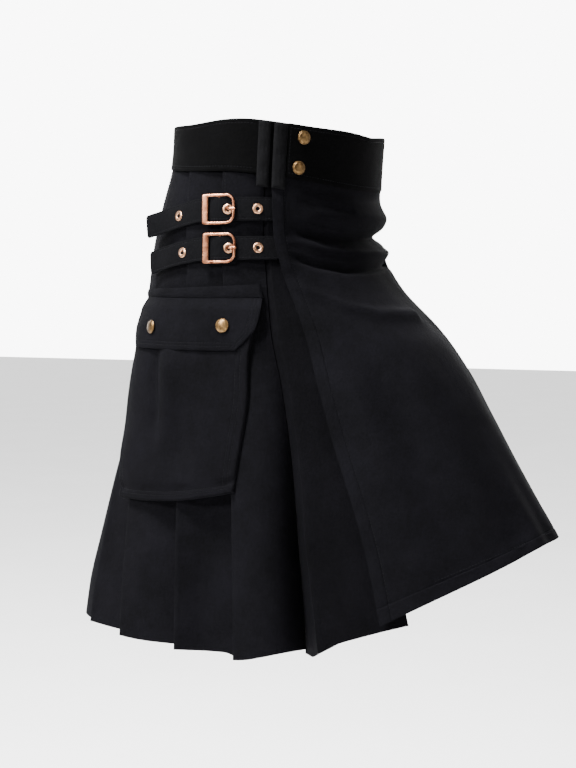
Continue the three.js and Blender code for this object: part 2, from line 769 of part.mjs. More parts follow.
// buckle: one plate with two windows, a broad flat side behind and a round side in front
function buckleGeometry() {
  const long = BUCKLE_LENGTH / 2;
  const tall = BUCKLE_HEIGHT / 2;
  const rim = 2.9;
  const outline = [
    ...cornerArc(-long + 2.5, -tall + 2.5, 2.5, 2.5, Math.PI, 3),
    ...cornerArc(long - 10, -tall + 11, 10, 11, -Math.PI / 2, 7),
    ...cornerArc(long - 10, tall - 11, 10, 11, 0, 7),
    ...cornerArc(-long + 2.5, tall - 2.5, 2.5, 2.5, Math.PI / 2, 3),
  ];
  const back = [
    [-long + 7, -tall + rim],
    [0, -tall + rim],
    [0, tall - rim],
    [-long + 7, tall - rim],
  ];
  const front = [
    [-0.5, -tall + rim],
    ...cornerArc(long - 10, -tall + 10, 7, 10 - rim, -Math.PI / 2, 5),
    ...cornerArc(long - 10, tall - 10, 7, 10 - rim, 0, 5),
    [-0.5, tall - rim],
  ];
  let plate = toManifold(plateOf(outline, 0, BUCKLE_WALL));
  plate = plate.subtract(toManifold(plateOf(back, -1, BUCKLE_WALL + 1)));
  plate = plate.subtract(toManifold(plateOf(front, -1, BUCKLE_WALL + 1)));
  const bar = [
    [-1.3, -tall + 1.6],
    [1.3, -tall + 1.6],
    [1.3, tall - 1.6],
    [-1.3, tall - 1.6],
  ];
  plate = plate.add(toManifold(plateOf(bar, -1.5, 0.2)));
  return fromManifold(plate);
}

// a round rod along a run of points
function rod(path, radii, segments) {
  const points = [];
  const faces = [];
  path.forEach((p, i) => {
    const before = path[Math.max(i - 1, 0)];
    const after = path[Math.min(i + 1, path.length - 1)];
    const along = after.clone().sub(before).normalize();
    const side = new THREE.Vector3(0, 1, 0);
    const up = along.clone().cross(side).normalize();
    for (let k = 0; k < segments; k += 1) {
      const a = (k / segments) * 2 * Math.PI;
      const q = p
        .clone()
        .addScaledVector(side, Math.cos(a) * radii[i])
        .addScaledVector(up, Math.sin(a) * radii[i]);
      points.push(q.x, q.y, q.z);
    }
  });
  for (let i = 0; i < path.length - 1; i += 1) {
    for (let k = 0; k < segments; k += 1) {
      const a = i * segments + k;
      const b = i * segments + ((k + 1) % segments);
      faces.push(a, b, b + segments, a, b + segments, a + segments);
    }
  }
  const first = points.length / 3;
  const last = path[path.length - 1];
  points.push(path[0].x, path[0].y, path[0].z, last.x, last.y, last.z);
  for (let k = 0; k < segments; k += 1) {
    const next = (k + 1) % segments;
    const end = (path.length - 1) * segments;
    faces.push(first, next, k);
    faces.push(first + 1, end + k, end + next);
  }
  return facingOut(points, faces);
}

for (const key of ["upper", "lower"]) {
  const middle = strapAt(key, BUCKLE_AT[key]);
  const seat = strapFrame(key, BUCKLE_AT[key]);
  seat.setPosition(off(middle.angle, middle.t, 0));
  const frame = buckleGeometry();
  frame.applyMatrix4(new THREE.Matrix4().makeTranslation(0, 0, FRAME_RISE));
  frame.applyMatrix4(seat);
  add("buckle_frame_" + key, frame, "copper");
  const path = [
    [9.5, 3.4],
    [10.1, 4.6],
    [11.3, 6.3],
    [13.2, 7.35],
    [15, 7.45],
    [18.8, 7.4],
    [19.8, 7.1],
  ].map(([x, z]) => new THREE.Vector3(x, 0, z));
  const radii = [1.1, 1.1, 1.1, 1.1, 1.1, 1.1, 0.8];
  add("prong_" + key, rod(path, radii, 8).applyMatrix4(seat), "copper");

  // the tab: sewn on behind the buckle, flat under the strap, as far as the bar
  const tab = (rise) =>
    [34, 26, 18, 10, 2].map((x) => {
      const angle = BUCKLE_AT[key] + x / rate(BUCKLE_AT[key] + 5, 0.2);
      const height = strapAt(key, angle).height;
      return [-12.4, 0, 12.4].map((y) => off(angle, levelAt(angle, height + y), rise));
    });
  add("buckle_tab_" + key, bodyOf(tab(1.6), tab(0.75)), "drill");
}

// snap caps on the band's end
function capOn(name, angle, height, rise) {
  const cap = capGeometry(CAP_RADIUS);
  const t = levelAt(angle, height);
  const out = outward(angle, t);
  const forward = worn(angle - 0.5, t).sub(worn(angle + 0.5, t)).normalize();
  const up = new THREE.Vector3().crossVectors(out, forward);
  const matrix = new THREE.Matrix4().makeBasis(forward, up, out);
  matrix.setPosition(off(angle, t, rise));
  add(name, cap.applyMatrix4(matrix), "brass");
}
capOn("snap_band_upper", 43.6, worn(43.6, 0.022).z, 2.15 + BAND_WALL / 2 + SEAM);
capOn("snap_band_lower", 45.2, worn(45.2, 0.079).z, 2.15 + BAND_WALL / 2 + SEAM + 0.1);

// the pocket on the right hip: its places are the two edges' angles at each level
const POCKET = [
  { t: 0.35, back: 134, front: 68.5 },
  { t: 0.45, back: 134, front: 75.2 },
  { t: 0.54, back: 133, front: 76.9 },
  { t: 0.63, back: 131, front: 79.0 },
  { t: 0.745, back: 126, front: 81.3 },
];
const POCKET_BASE = 1.0;
const POCKET_TOP = 0.372;
const POCKET_LOW = 0.742;

// the pocket stands out most near its rear edge
function pouch(angle, t) {
  const high = 5.5 * ease((t - 0.365) / 0.05) * ease((0.74 - t) / 0.24);
  return (high + 3.5 * Math.exp(-(((t - 0.66) / 0.05) ** 2))) * Math.exp(-(((angle - 125) / 11) ** 2));
}

function pocketBag() {
  const shares = run(0, 1, 12);
  const levels = run(POCKET_TOP, POCKET_LOW, 9);
  const sag = (s, v) => 1.6 * Math.sin(Math.PI * s) * ease(v / 0.5) * ease((1 - v) / 0.2);
  // the bottom edge rises towards the front corner
  const raised = (s, v) => 0.0273 * s ** 3.8 * ease((v - 0.45) / 0.55);
  const grid = (inset, face) => {
    const rows = levels.map((t, i) => {
      const v = i / (levels.length - 1);
      const low = i === levels.length - 1 ? (inset * 1.0) / 560 : 0;
      const level = t - low;
      const back = column(POCKET, "back", level) - inset / rate(130, level);
      const front = column(POCKET, "front", level) + inset / rate(80, level);
      const row = shares.map((s) => {
        const angle = mix(back, front, s);
        return off(angle, level - raised(s, v), face + sag(s, v) + pouch(angle, level));
      });
      row.unshift(off(back, level, POCKET_BASE));
      row.push(off(front, level - raised(1, v), POCKET_BASE));
      return row;
    });
    const level = levels[levels.length - 1] - inset / 560;
    const back = column(POCKET, "back", level) - inset / rate(130, level);
    const front = column(POCKET, "front", level) + inset / rate(80, level);
    const foot = shares.map((s) => off(mix(back, front, s), level - raised(s, 1), POCKET_BASE));
    foot.unshift(off(back, level, POCKET_BASE));
    foot.push(off(front, level - raised(1, 1), POCKET_BASE));
    rows.push(foot);
    return rows;
  };
  return bodyOf(grid(0, POCKET_BASE + POCKET_DEPTH), grid(POCKET_WALL, POCKET_BASE + POCKET_DEPTH - POCKET_WALL));
}
add("pocket_bag", pocketBag(), "drill");

// the flap: from the band over its top, out over the pocket, with cut corners
const FLAP_TOP = 0.345;
const FLAP_LOW = 0.447;
function flapEdges(t) {
  const v = (t - FLAP_TOP) / (FLAP_LOW - FLAP_TOP);
  const cut = Math.max(0, (v - 0.62) / 0.38);
  const front = mix(66.8, 72.2, Math.min(v / 0.62, 1) ** 1.2) + cut * 7.2;
  const back = mix(134, 136, Math.min(v / 0.62, 1)) - cut * 8;
  return { back, front };
}
const flapRise = (t) => mix(2.25, POCKET_BASE + POCKET_DEPTH + 1.75, ease((t - FLAP_TOP + 0.004) / 0.03));
function pocketFlap() {
  const levels = [FLAP_TOP, 0.355, 0.366, 0.378, 0.393, 0.406, 0.42, 0.434, FLAP_LOW];
  const shares = run(0, 1, 12);
  const grid = (extra) =>
    levels.map((t) => {
      const { back, front } = flapEdges(t);
      const sag = (s) => 1.6 * Math.sin(Math.PI * s) * ease((t - 0.36) / 0.05);
      return shares.map((s) => {
        const angle = mix(back, front, s);
        return off(angle, t, flapRise(t) + extra + sag(s) + pouch(angle, t));
      });
    });
  return bodyOf(grid(0.8), grid(-0.8));
}
add("pocket_flap", pocketFlap(), "drill");

function flapBand() {
  const levels = [0.3225, 0.326, 0.333, 0.34, FLAP_TOP - SEAM / 560];
  const crown = [0.5, 0.9, 1, 1, 0.85];
  const shares = run(0, 1, 12);
  const grid = (inside) =>
    levels.map((t, i) => {
      const slant = t - 0.004;
      return shares.map((s) => {
        const level = slant + 0.004 + mix(0.008, -0.004, s) * (1 - i / 4);
        return off(mix(135, 66, s), level, inside ? 1.15 : 1.15 + 3.2 * crown[i]);
      });
    });
  return bodyOf(grid(false), grid(true));
}
add("pocket_flap_band", flapBand(), "drill");

const flapFace = POCKET_BASE + POCKET_DEPTH + 1.2 + 0.8;
capOn("snap_flap_back", 116.6, worn(116.6, 0.405).z, flapFace + 1.6 * 0.6 + SEAM + 4.35);
capOn("snap_flap_front", 82.9, worn(82.9, 0.399).z, flapFace + 1.6 * 0.6 + SEAM + 0.45);

export default kilt;
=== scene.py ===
import math

import bpy
import numpy as np
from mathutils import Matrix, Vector


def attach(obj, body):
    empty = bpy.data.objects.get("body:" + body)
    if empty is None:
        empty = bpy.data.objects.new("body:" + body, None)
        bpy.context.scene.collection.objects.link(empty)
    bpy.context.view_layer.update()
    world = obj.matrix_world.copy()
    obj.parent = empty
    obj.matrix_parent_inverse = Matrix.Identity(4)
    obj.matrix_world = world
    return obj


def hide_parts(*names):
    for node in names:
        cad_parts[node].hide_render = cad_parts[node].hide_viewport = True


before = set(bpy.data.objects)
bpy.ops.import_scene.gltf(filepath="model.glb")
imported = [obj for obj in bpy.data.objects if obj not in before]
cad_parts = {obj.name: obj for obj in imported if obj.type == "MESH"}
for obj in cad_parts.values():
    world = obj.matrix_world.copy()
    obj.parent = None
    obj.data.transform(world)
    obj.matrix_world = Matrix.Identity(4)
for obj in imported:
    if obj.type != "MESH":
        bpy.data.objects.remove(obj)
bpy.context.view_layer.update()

# sizes in millimetres, as in the solids
WALL = 1.1
BAND_WALL = 3.0
BAND_END = 0.1
STRAP_WIDTH = 25.4
STRAP_WALL = 1.8
CAP_RADIUS = 7.5
EYELET_OUTER = 5.6
EYELET_HOLE = 2.7
LOOP_WALL = 3.2
POCKET_BASE = 1.0
POCKET_DEPTH = 5.0
SKIRT_TOP = BAND_END + 0.0006
CLOTH_DROP = 560.0

# millimetres that one degree round the body is taken for: creases, swells, weave, straps
CREASE_DEGREE = 2.3
SWELL_DEGREE = 2.6
WEAVE_DEGREE = 2.7
STRAP_DEGREE = 2.4

# camera first: the wearer faces right in the photograph and is seen a little from the front
ACROSS = np.array([0.454, -0.891, 0.0]) / math.hypot(0.454, 0.891)
TOWARDS = np.array([ACROSS[1], -ACROSS[0], 0.0])
TILT = math.radians(3.5)
AIM = 12.0 * ACROSS + np.array([0.0, 0.0, -300.0])
EYE = AIM + 2000.0 * (math.cos(TILT) * TOWARDS + math.sin(TILT) * np.array([0.0, 0.0, 1.0]))

camera_data = bpy.data.cameras.new("camera")
camera_data.lens = 80.1
camera_data.sensor_width = 36.0
camera_data.clip_start = 0.05
camera_data.clip_end = 60.0
camera = bpy.data.objects.new("camera", camera_data)
bpy.context.collection.objects.link(camera)
camera.location = Vector(EYE / 1000.0)
camera.rotation_euler = Vector((AIM - EYE) / 1000.0).to_track_quat("-Z", "Y").to_euler()
bpy.context.scene.camera = camera

# the worn shape, level by level: share down the cloth, heights at side, front and back,
# half width, reach to the front, reach to the back
LEVELS = np.array([
    [0.00, -3, -19, 2, 148, 116, 105],
    [0.10, -60, -78, -49, 150, 111, 110],
    [0.17, -100, -113, -92, 154, 112, 124],
    [0.25, -145, -150, -140, 158, 115, 137],
    [0.33, -190, -190, -188, 162, 141, 144],
    [0.42, -240, -232, -240, 167, 189, 154],
    [0.52, -296, -278, -300, 173, 228, 168],
    [0.62, -352, -324, -358, 179, 257, 179],
    [0.72, -408, -368, -416, 185, 283, 196],
    [0.82, -466, -408, -476, 191, 306, 213],
    [0.92, -529, -442, -531, 196, 326, 229],
    [1.00, -576, -463, -573, 200, 337, 236],
], float)
SIDE, FRONT, BACK, HALF, REACH, REAR = 1, 2, 3, 4, 5, 6

# lines down the cloth: level, the apron's free edge, the deep fold, its valley
LINES = np.array([
    [0.00, 58.5, 59.5, 61.5],
    [0.10, 58.2, 59.4, 61.4],
    [0.20, 57.0, 59.1, 61.3],
    [0.27, 55.2, 58.9, 61.3],
    [0.34, 54.6, 61.4, 64.0],
    [0.41, 56.1, 64.8, 67.4],
    [0.50, 57.3, 65.2, 67.9],
    [0.60, 56.9, 65.0, 68.1],
    [0.82, 54.3, 65.7, 69.3],
    [1.00, 53.1, 65.0, 69.4],
], float)
EDGE, FOLD, VALLEY = 1, 2, 3

# outer folds of the pleats: angle at the band, at the hip and at the hem
FOLDS = [
    (84.0, 82.5, 81.5),
    (108.0, 102.0, 95.5),
    (131.0, 130.0, 116.5),
    (147.0, 143.0, 137.0),
    (162.0, 160.0, 157.0),
    (176.0, 176.5, 176.5),
]

# creases over the apron: width in mm, rise in mm, run of (angle, level)
CREASES = [
    (12, -2.6, [(50, 0.12), (27, 0.115), (9, 0.114), (-12, 0.118), (-34, 0.12)]),
    (18, 4.6, [(46, 0.164), (26, 0.166), (12, 0.16), (-12, 0.162), (-36, 0.166)]),
    (12.5, -10.4, [(53, 0.2), (33, 0.213), (18, 0.216), (2, 0.213), (-34, 0.207), (-58, 0.206)]),
    (11, 4.6, [(47, 0.237), (20, 0.247), (6, 0.25), (-34, 0.248)]),
    (8, -6.4, [(53, 0.256), (37, 0.277), (22, 0.286), (2, 0.281), (-34, 0.27)]),
    (11, 3.4, [(55, 0.31), (44, 0.337), (34, 0.366), (22, 0.384), (0, 0.388)]),
    (26, -2.8, [(42, 0.375), (30, 0.405), (16, 0.418), (0, 0.42), (-14, 0.41)]),
    (7, -1.6, [(48, 0.142), (36, 0.149), (24, 0.148), (14, 0.152)]),
    (6, -1.5, [(40, 0.186), (28, 0.187), (20, 0.192)]),
    (9, 1.6, [(52, 0.232), (44, 0.23), (36, 0.232)]),
    (40, 2.2, [(44, 0.62), (36, 0.75), (34, 0.9)]),
    (46, -2.4, [(12, 0.6), (14, 0.75), (20, 0.92)]),
]


def column(table, key, t):
    """The smooth curve through one column of a table."""
    x = table[:, 0]
    y = table[:, key]
    rate = (y[1:] - y[:-1]) / (x[1:] - x[:-1])
    slope = np.empty(len(x))
    slope[0] = rate[0]
    slope[-1] = rate[-1]
    before = x[1:-1] - x[:-2]
    after = x[2:] - x[1:-1]
    slope[1:-1] = (rate[:-1] * after + rate[1:] * before) / (before + after)
    t = np.clip(np.asarray(t, float), x[0], x[-1])
    i = np.clip(np.searchsorted(x, t, side="right") - 1, 0, len(x) - 2)
    span = x[i + 1] - x[i]
    s = (t - x[i]) / span
    return ((2 * s**3 - 3 * s**2 + 1) * y[i] + (s**3 - 2 * s**2 + s) * span * slope[i]
            + (-2 * s**3 + 3 * s**2) * y[i + 1] + (s**3 - s**2) * span * slope[i + 1])


def ease(x):
    s = np.clip(x, 0.0, 1.0)
    return s * s * (3 - 2 * s)


def mix(a, b, s):
    return a + (b - a) * s


def bell(x, at, wide):
    return np.exp(-(((x - at) / wide) ** 2))


def quarter_round(x):
    """Rises like a quarter circle, from 0 at 0 to 1 at 1."""
    return np.sqrt(np.clip(1 - (1 - np.clip(x, 0, 1)) ** 2, 0, 1))


def front_share(angle, t):
    away = np.abs((angle + 180) % 360 - 180)
    even = np.where(away < 90, np.cos(np.radians(away)) ** 2, 0.0)
    raised = np.clip(1 - np.minimum(away / 67, 1) ** 1.9, 0, 1)
    return mix(even, raised, ease((t - 0.25) / 0.6))


def worn(angle, t):
    """A point of the worn shape, in millimetres."""
    angle, t = np.broadcast_arrays(np.asarray(angle, float), np.asarray(t, float))
    a = np.radians(angle)
    c = np.cos(a)
    side = column(LEVELS, SIDE, t)
    depth = np.where(c > 0, column(LEVELS, REACH, t), column(LEVELS, REAR, t))
    ahead = mix(side, column(LEVELS, FRONT, t), front_share(angle, t))
    behind = mix(side, column(LEVELS, BACK, t), c * c)
    height = np.where(c > 0, ahead, behind)
    return np.stack([-column(LEVELS, HALF, t) * np.sin(a), -depth * c, height], -1)


def unit(v):
    return v / np.linalg.norm(v, axis=-1, keepdims=True)


def outward(angle, t):
    angle, t = np.broadcast_arrays(np.asarray(angle, float), np.asarray(t, float))
    along = worn(angle + 0.5, t) - worn(angle - 0.5, t)
    low = np.minimum(t + 0.01, 1.0)
    down = worn(angle, low) - worn(angle, low - 0.02)
    return unit(np.cross(along, down))


def off(angle, t, rise):
    rise = np.asarray(rise, float)
    return worn(angle, t) + outward(angle, t) * rise[..., None]


def rate(angle, t):
    return np.linalg.norm(worn(angle + 0.5, t) - worn(angle - 0.5, t), axis=-1)


def fold_angle(fold, t):
    low = mix(fold[0], fold[1], ease((t - 0.1) / 0.22))
    return mix(low, fold[2], ease((t - 0.3) / 0.75))


def creased(angle, t):
    """The rise of the creases on the apron."""
    total = np.zeros(np.broadcast(angle, t).shape)
    for wide, rise, run in CREASES:
        best = np.full(total.shape, 1e9)
        along = np.zeros(total.shape)
        count = len(run) - 1
        for i in range(count):
            a0, t0 = run[i]
            a1, t1 = run[i + 1]
            dx = (a1 - a0) * CREASE_DEGREE
            dy = (t1 - t0) * CLOTH_DROP
            x = (angle - a0) * CREASE_DEGREE
            y = (t - t0) * CLOTH_DROP
            k = np.clip((x * dx + y * dy) / (dx * dx + dy * dy), 0, 1)
            gap = np.hypot(x - k * dx, y - k * dy)
            nearer = gap < best
            best = np.where(nearer, gap, best)
            along = np.where(nearer, (i + k) / count, along)
        fade = ease((along - 0.02) / 0.16) * (0.62 + 0.62 * along)
        total = total + rise * fade * bell(best, 0, wide * 0.6)
    return total


def waves(angle, t, sizes):
    """Small uneven swells of the cloth: rows of (mm across, mm down, mm high, phase)."""
    x = angle * SWELL_DEGREE
    y = t * CLOTH_DROP
    total = 0.0
    for across, down, high, phase in sizes:
        bend = 0.6 * np.sin(y / (down * 1.7) + phase * 2.1) + 0.5 * np.sin(x / (across * 2.3) + phase)
        total = total + high * np.sin(x / across + bend + phase) * np.cos(y / down + 0.7 * bend - phase)
    return total


SWELLS = [(9.0, 26.0, 0.16, 0.3), (17.0, 41.0, 0.3, 1.9), (5.5, 13.0, 0.07, 4.2), (31.0, 75.0, 0.45, 2.7)]


# materials
def nodes_of(name):
    material = bpy.data.materials.new(name)
    material.use_nodes = True
    tree = material.node_tree
    shader = tree.nodes["Principled BSDF"]
    return material, tree, shader


def link(tree, a, out, b, into):
    tree.links.new(a.outputs[out], b.inputs[into])


def node(tree, kind, **values):
    made = tree.nodes.new(kind)
    for key, value in values.items():
        if hasattr(made, key):
            setattr(made, key, value)
        else:
            made.inputs[key].default_value = value
    return made


def ramp(tree, stops):
    made = tree.nodes.new("ShaderNodeValToRGB")
    elements = made.color_ramp.elements
    elements[0].position, elements[0].color = stops[0]
    elements[1].position, elements[1].color = stops[-1]
    for position, colour in stops[1:-1]:
        elements.new(position).color = colour
    return made


def noise(tree, place, scale, detail, rough=0.5):
    made = node(tree, "ShaderNodeTexNoise", Scale=scale, Detail=detail, Roughness=rough)
    link(tree, place, "Object", made, "Vector")
    return made


def bump(tree, height, strength, distance, under=None):
    made = node(tree, "ShaderNodeBump", Strength=strength, Distance=distance)
    link(tree, height, "Fac", made, "Height")
    if under:
        link(tree, under, "Normal", made, "Normal")
    return made


def spread_rough(tree, source, low, high, shader):
    spread = node(tree, "ShaderNodeMapRange", **{"To Min": low, "To Max": high})
    link(tree, source, "Fac", spread, "Value")
    link(tree, spread, "Result", shader, "Roughness")


def worked(tree, operation, source, out, *constants):
    made = node(tree, "ShaderNodeMath", operation=operation)
    for place, value in enumerate(constants, 1):
        made.inputs[place].default_value = value
    link(tree, source, out, made, 0)
    return made


def tinted(tree, source, stops, shader, out="Fac"):
    colour = ramp(tree, stops)
    link(tree, source, out, colour, "Fac")
    link(tree, colour, "Color", shader, "Base Color")


def drill(name, dark, light, sheen, rough):
    """Black cotton drill: a fine slanted twill with a worn, slightly blue bloom."""
    material, tree, shader = nodes_of(name)
    place = node(tree, "ShaderNodeTexCoord")
    cloth = node(tree, "ShaderNodeUVMap")
    cloth.uv_map = "cloth"
    blotch = noise(tree, place, 16.0, 6.0, 0.7)
    fine = noise(tree, place, 420.0, 2.0, 0.6)
    speckle = worked(tree, "MULTIPLY_ADD", fine, "Fac", 0.35, 0.32)
    both = worked(tree, "MULTIPLY_ADD", blotch, "Fac", 0.6)
    link(tree, speckle, "Value", both, 2)
    tone = worked(tree, "SUBTRACT", both, "Value", 0.28)
    tinted(tree, tone, [(0.3, (*dark, 1)), (0.75, (*light, 1))], shader, "Value")
    twill = node(tree, "ShaderNodeTexWave", wave_type="BANDS", bands_direction="DIAGONAL",
                 Scale=0.6, Distortion=0.4, Detail=1.0)
    link(tree, cloth, "UV", twill, "Vector")
    weave_bump = bump(tree, twill, 0.35, 0.00022)
    lint = bump(tree, fine, 0.5, 0.0005, weave_bump)
    pucker = bump(tree, noise(tree, place, 55.0, 3.0, 0.55), 0.55, 0.0012, lint)
    link(tree, pucker, "Normal", shader, "Normal")
    spread_rough(tree, blotch, rough - 0.08, rough + 0.06, shader)
    shader.inputs["Specular IOR Level"].default_value = 0.012
    shader.inputs["Sheen Weight"].default_value = sheen
    shader.inputs["Sheen Roughness"].default_value = 0.45
    shader.inputs["Sheen Tint"].default_value = (0.62, 0.66, 0.85, 1)
    return material


def thread_material():
    material, tree, shader = nodes_of("thread")
    place = node(tree, "ShaderNodeTexCoord")
    twist = noise(tree, place, 900.0, 1.0)
    tinted(tree, twist, [(0.3, (0.0022, 0.0022, 0.0026, 1)), (0.7, (0.0048, 0.0048, 0.0056, 1))], shader)
    shader.inputs["Roughness"].default_value = 0.6
    shader.inputs["Specular IOR Level"].default_value = 0.02
    shader.inputs["Sheen Weight"].default_value = 0.002
    return material


def metal(name, deep, bright, rough, scale, patina):
    """Plated metal with darker wear in blotches."""
    material, tree, shader = nodes_of(name)
    place = node(tree, "ShaderNodeTexCoord")
    blotch = noise(tree, place, scale, 6.0, 0.65)
    tinted(tree, blotch, [(0.34, (*deep, 1)), (patina, (*bright, 1))], shader)
    spread_rough(tree, blotch, rough + 0.16, rough, shader)
    scratch = bump(tree, noise(tree, place, scale * 9, 3.0), 0.25, 0.0002)
    link(tree, scratch, "Normal", shader, "Normal")
    shader.inputs["Metallic"].default_value = 1.0
    return material


BODY_CLOTH = drill("drill", (0.0009, 0.0009, 0.001), (0.0031, 0.003, 0.0039), 0.0013, 0.9)
# the waistband uses a darker copy of the drill: painted shade on the upright band
BAND_SHADED_CLOTH = drill("band_drill_painted_shade", (0.0006, 0.0006, 0.0006), (0.0015, 0.0015, 0.0016), 0.001, 0.9)
# the under-apron uses a darker copy of the drill: painted shade on the panel behind the apron's edge
UNDER_SHADED_CLOTH = drill("under_drill_painted_shade", (0.0007, 0.0007, 0.0008), (0.0022, 0.0021, 0.0027), 0.001, 0.9)
# the belt loops use a lighter copy of the drill: painted light on the raised loops
LOOP_LIT_CLOTH = drill("loop_drill_painted_light", (0.0012, 0.0012, 0.0013), (0.0044, 0.0044, 0.0048), 0.0015, 0.88)
# the straps use a lighter copy of the drill: painted light on the raised straps
STRAP_LIT_CLOTH = drill("strap_drill_painted_light", (0.0012, 0.0012, 0.0014), (0.0028, 0.0028, 0.0032), 0.0015, 0.88)
THREAD = thread_material()
COPPER = metal("copper", (0.06, 0.018, 0.009), (0.46, 0.2, 0.11), 0.2, 70.0, 0.7)
BRASS = metal("antique_brass", (0.03, 0.016, 0.006), (0.14, 0.085, 0.036), 0.34, 240.0, 0.64)
EYELET_METAL = metal("eyelet_brass", (0.09, 0.045, 0.024), (0.36, 0.2, 0.12), 0.28, 300.0, 0.58)


# making pieces
def finish_piece(name, verts, faces, material, replaced, uv=None, angle=45):
    mesh = bpy.data.meshes.new(name)
    mesh.from_pydata((np.asarray(verts) / 1000.0).tolist(), [], faces)
    mesh.polygons.foreach_set("use_smooth", [True] * len(mesh.polygons))
    mesh.set_sharp_from_angle(angle=math.radians(angle))
    if uv is not None:
        layer = mesh.uv_layers.new(name="cloth")
        index = np.empty(len(mesh.loops), int)
        mesh.loops.foreach_get("vertex_index", index)
        layer.data.foreach_set("uv", np.asarray(uv, float)[index].ravel())
    mesh.materials.append(material)
    mesh.update()
    piece = bpy.data.objects.new(name, mesh)
    bpy.context.collection.objects.link(piece)
    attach(piece, "root")
    if replaced:
        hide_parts(*replaced)
    return piece


def shell(outer, inner):
    """One closed body between two grids of points."""
    rows, cols = outer.shape[:2]
    verts = np.concatenate([outer.reshape(-1, 3), inner.reshape(-1, 3)])
    size = rows * cols
    index = np.arange(size).reshape(rows, cols)
    a, b, c, d = index[:-1, :-1], index[1:, :-1], index[1:, 1:], index[:-1, 1:]
    faces = [
        np.stack([a, b, c, d], -1).reshape(-1, 4),
        np.stack([a, d, c, b], -1).reshape(-1, 4) + size,
    ]
    edges = ((index[:, 0], False), (index[:, -1], True), (index[0, :], True), (index[-1, :], False))
    for line, turn in edges:
        p, q = line[:-1], line[1:]
        quad = np.stack([p, p + size, q + size, q], -1)
        faces.append(quad[:, ::-1] if turn else quad)
    faces = np.concatenate(faces)
    p0 = verts[faces[:, 0]]
    volume = np.einsum("ij,ij->", p0, np.cross(verts[faces[:, 1]], verts[faces[:, 2]]))
    volume += np.einsum("ij,ij->", p0, np.cross(verts[faces[:, 2]], verts[faces[:, 3]]))
    if volume < 0:
        faces = faces[:, ::-1]
    return verts, faces.tolist()


def cloth(part, grids, material, flat, area=None, held="hung", rests=(), angle=45):
    """A sheet of cloth in the place of one solid, from its outer and inner grids."""
    outer, inner, uv = grids
    verts, faces = shell(outer, inner)
    both = np.concatenate([uv.reshape(-1, 2), uv.reshape(-1, 2)])
    piece = finish_piece("cloth_" + part, verts, faces, material, [part], both, angle)


def uv_of(angle, t):
    return np.stack([angle * WEAVE_DEGREE, t * CLOTH_DROP], -1)


def strip_line(angles, rises, t, wall):
    """Outer and inner points of a strip of cloth at one level, from its middle line."""
    scale = rate(angles, t)
    along = (angles[:-1] - angles[1:]) * (scale[:-1] + scale[1:]) / 2
    up = rises[1:] - rises[:-1]
    size = np.hypot(along, up)
    x = along / size
    y = up / size
    before = np.stack([np.concatenate([x[:1], x]), np.concatenate([y[:1], y])], -1)
    after = np.stack([np.concatenate([x, x[-1:]]), np.concatenate([y, y[-1:]])], -1)
    normal = np.stack([-(before[:, 1] + after[:, 1]), before[:, 0] + after[:, 0]], -1)
    normal = unit(normal)
    mitre = 1 / np.maximum(normal[:, 0] * -before[:, 1] + normal[:, 1] * before[:, 0], 0.6)
    half = wall / 2 * mitre
    outer = off(angles - normal[:, 0] * half / scale, t, rises + normal[:, 1] * half)
    inner = off(angles + normal[:, 0] * half / scale, t, rises - normal[:, 1] * half)
    return outer, inner


def strip(levels, line_at, wall, drop):
    outer = []
    inner = []
    uv = []
    for t in levels:
        angles, rises = line_at(t)
        a, b = strip_line(np.asarray(angles, float), np.asarray(rises, float), t, wall)
        a[:, 2] -= drop(angles, t)
        b[:, 2] -= drop(angles, t)
        outer.append(a)
        inner.append(b)
        steps = np.hypot(np.diff(angles) * WEAVE_DEGREE, np.diff(rises))
        length = np.concatenate([[0.0], np.cumsum(steps)])
        uv.append(np.stack([length, np.full(len(angles), t * CLOTH_DROP)], -1))
    return np.array(outer), np.array(inner), np.array(uv)


def turn_at(t):
    return mix(1.6, 2.6, ease((t - 0.25) / 0.75))


def depth_at(t):
    return 2 * turn_at(t) + 0.15 + 22 * ease((t - 0.26) / 0.8)


def lap_at(t):
    return mix(13, 27, ease((t - 0.15) / 0.8))


def valley_depth(t):
    return 3.3 + 42 * ease((t - 0.28) / 0.78)


def top_dip(angle, t):
    """The band's top dips from the sides round the back."""
    away = np.abs((angle + 180) % 360 - 180)
    dip = 6.5 * ease((away - 68) / 45) - 2.6 * bell(away, 18, 17)
    return dip * ease((0.075 - t) / 0.075)


def turn_over(line, angle, t):
    turn = turn_at(t)
    scale = float(rate(angle, t))
    for k in range(9):
        phi = math.pi * (k / 8 - 0.5)
        line.append((angle + turn / 2 * math.cos(phi) / scale, -turn / 2 + turn / 2 * math.sin(phi)))


def hem_wave(share, t, bow, seed):
    """How a face bows between its folds towards the hem."""
    small = 0.5 * math.sin(2.6 * math.pi * share + seed + 5 * t)
    return ease((t - 0.4) / 0.6) * (bow + small) * math.sin(math.pi * share)


def run_back(line, angle, t, first=1):
    """The inner layer that runs back out to a fold."""
    lap = lap_at(t) / float(rate(angle, t))
    for k in range(first, 5):
        line.append((angle - lap * (1 - k / 5), mix(turn_at(t) - depth_at(t), -turn_at(t), k / 5)))


def turn_under(line, angle, t):
    turn = turn_at(t)
    scale = float(rate(angle, t))
    for k in range(1, 7):
        phi = math.pi * (k / 6 - 0.5)
        inset = (lap_at(t) + turn / 2 * math.cos(phi)) / scale
        line.append((angle - inset, -depth_at(t) + turn / 2 * (1 + math.sin(phi))))
    run_back(line, angle, t)


def face_to(line, start, end, t, bow, seed, close_it=True):
    depth = depth_at(t)
    lap = lap_at(t) / float(rate(end, t))
    width = start - end
    under = max(2 * turn_at(t), depth * width / (width + lap))
    for k in range(1, 21):
        share = k / 20
        line.append((mix(start, end, share), -under * share + hem_wave(share, t, bow, seed)))
    for k in range(1, 5):
        line.append((end - lap * k / 4, mix(-under, -depth, k / 4)))
    if close_it:
        turn_under(line, end, t)


def split(line):
    return np.array([p[0] for p in line]), np.array([p[1] for p in line])


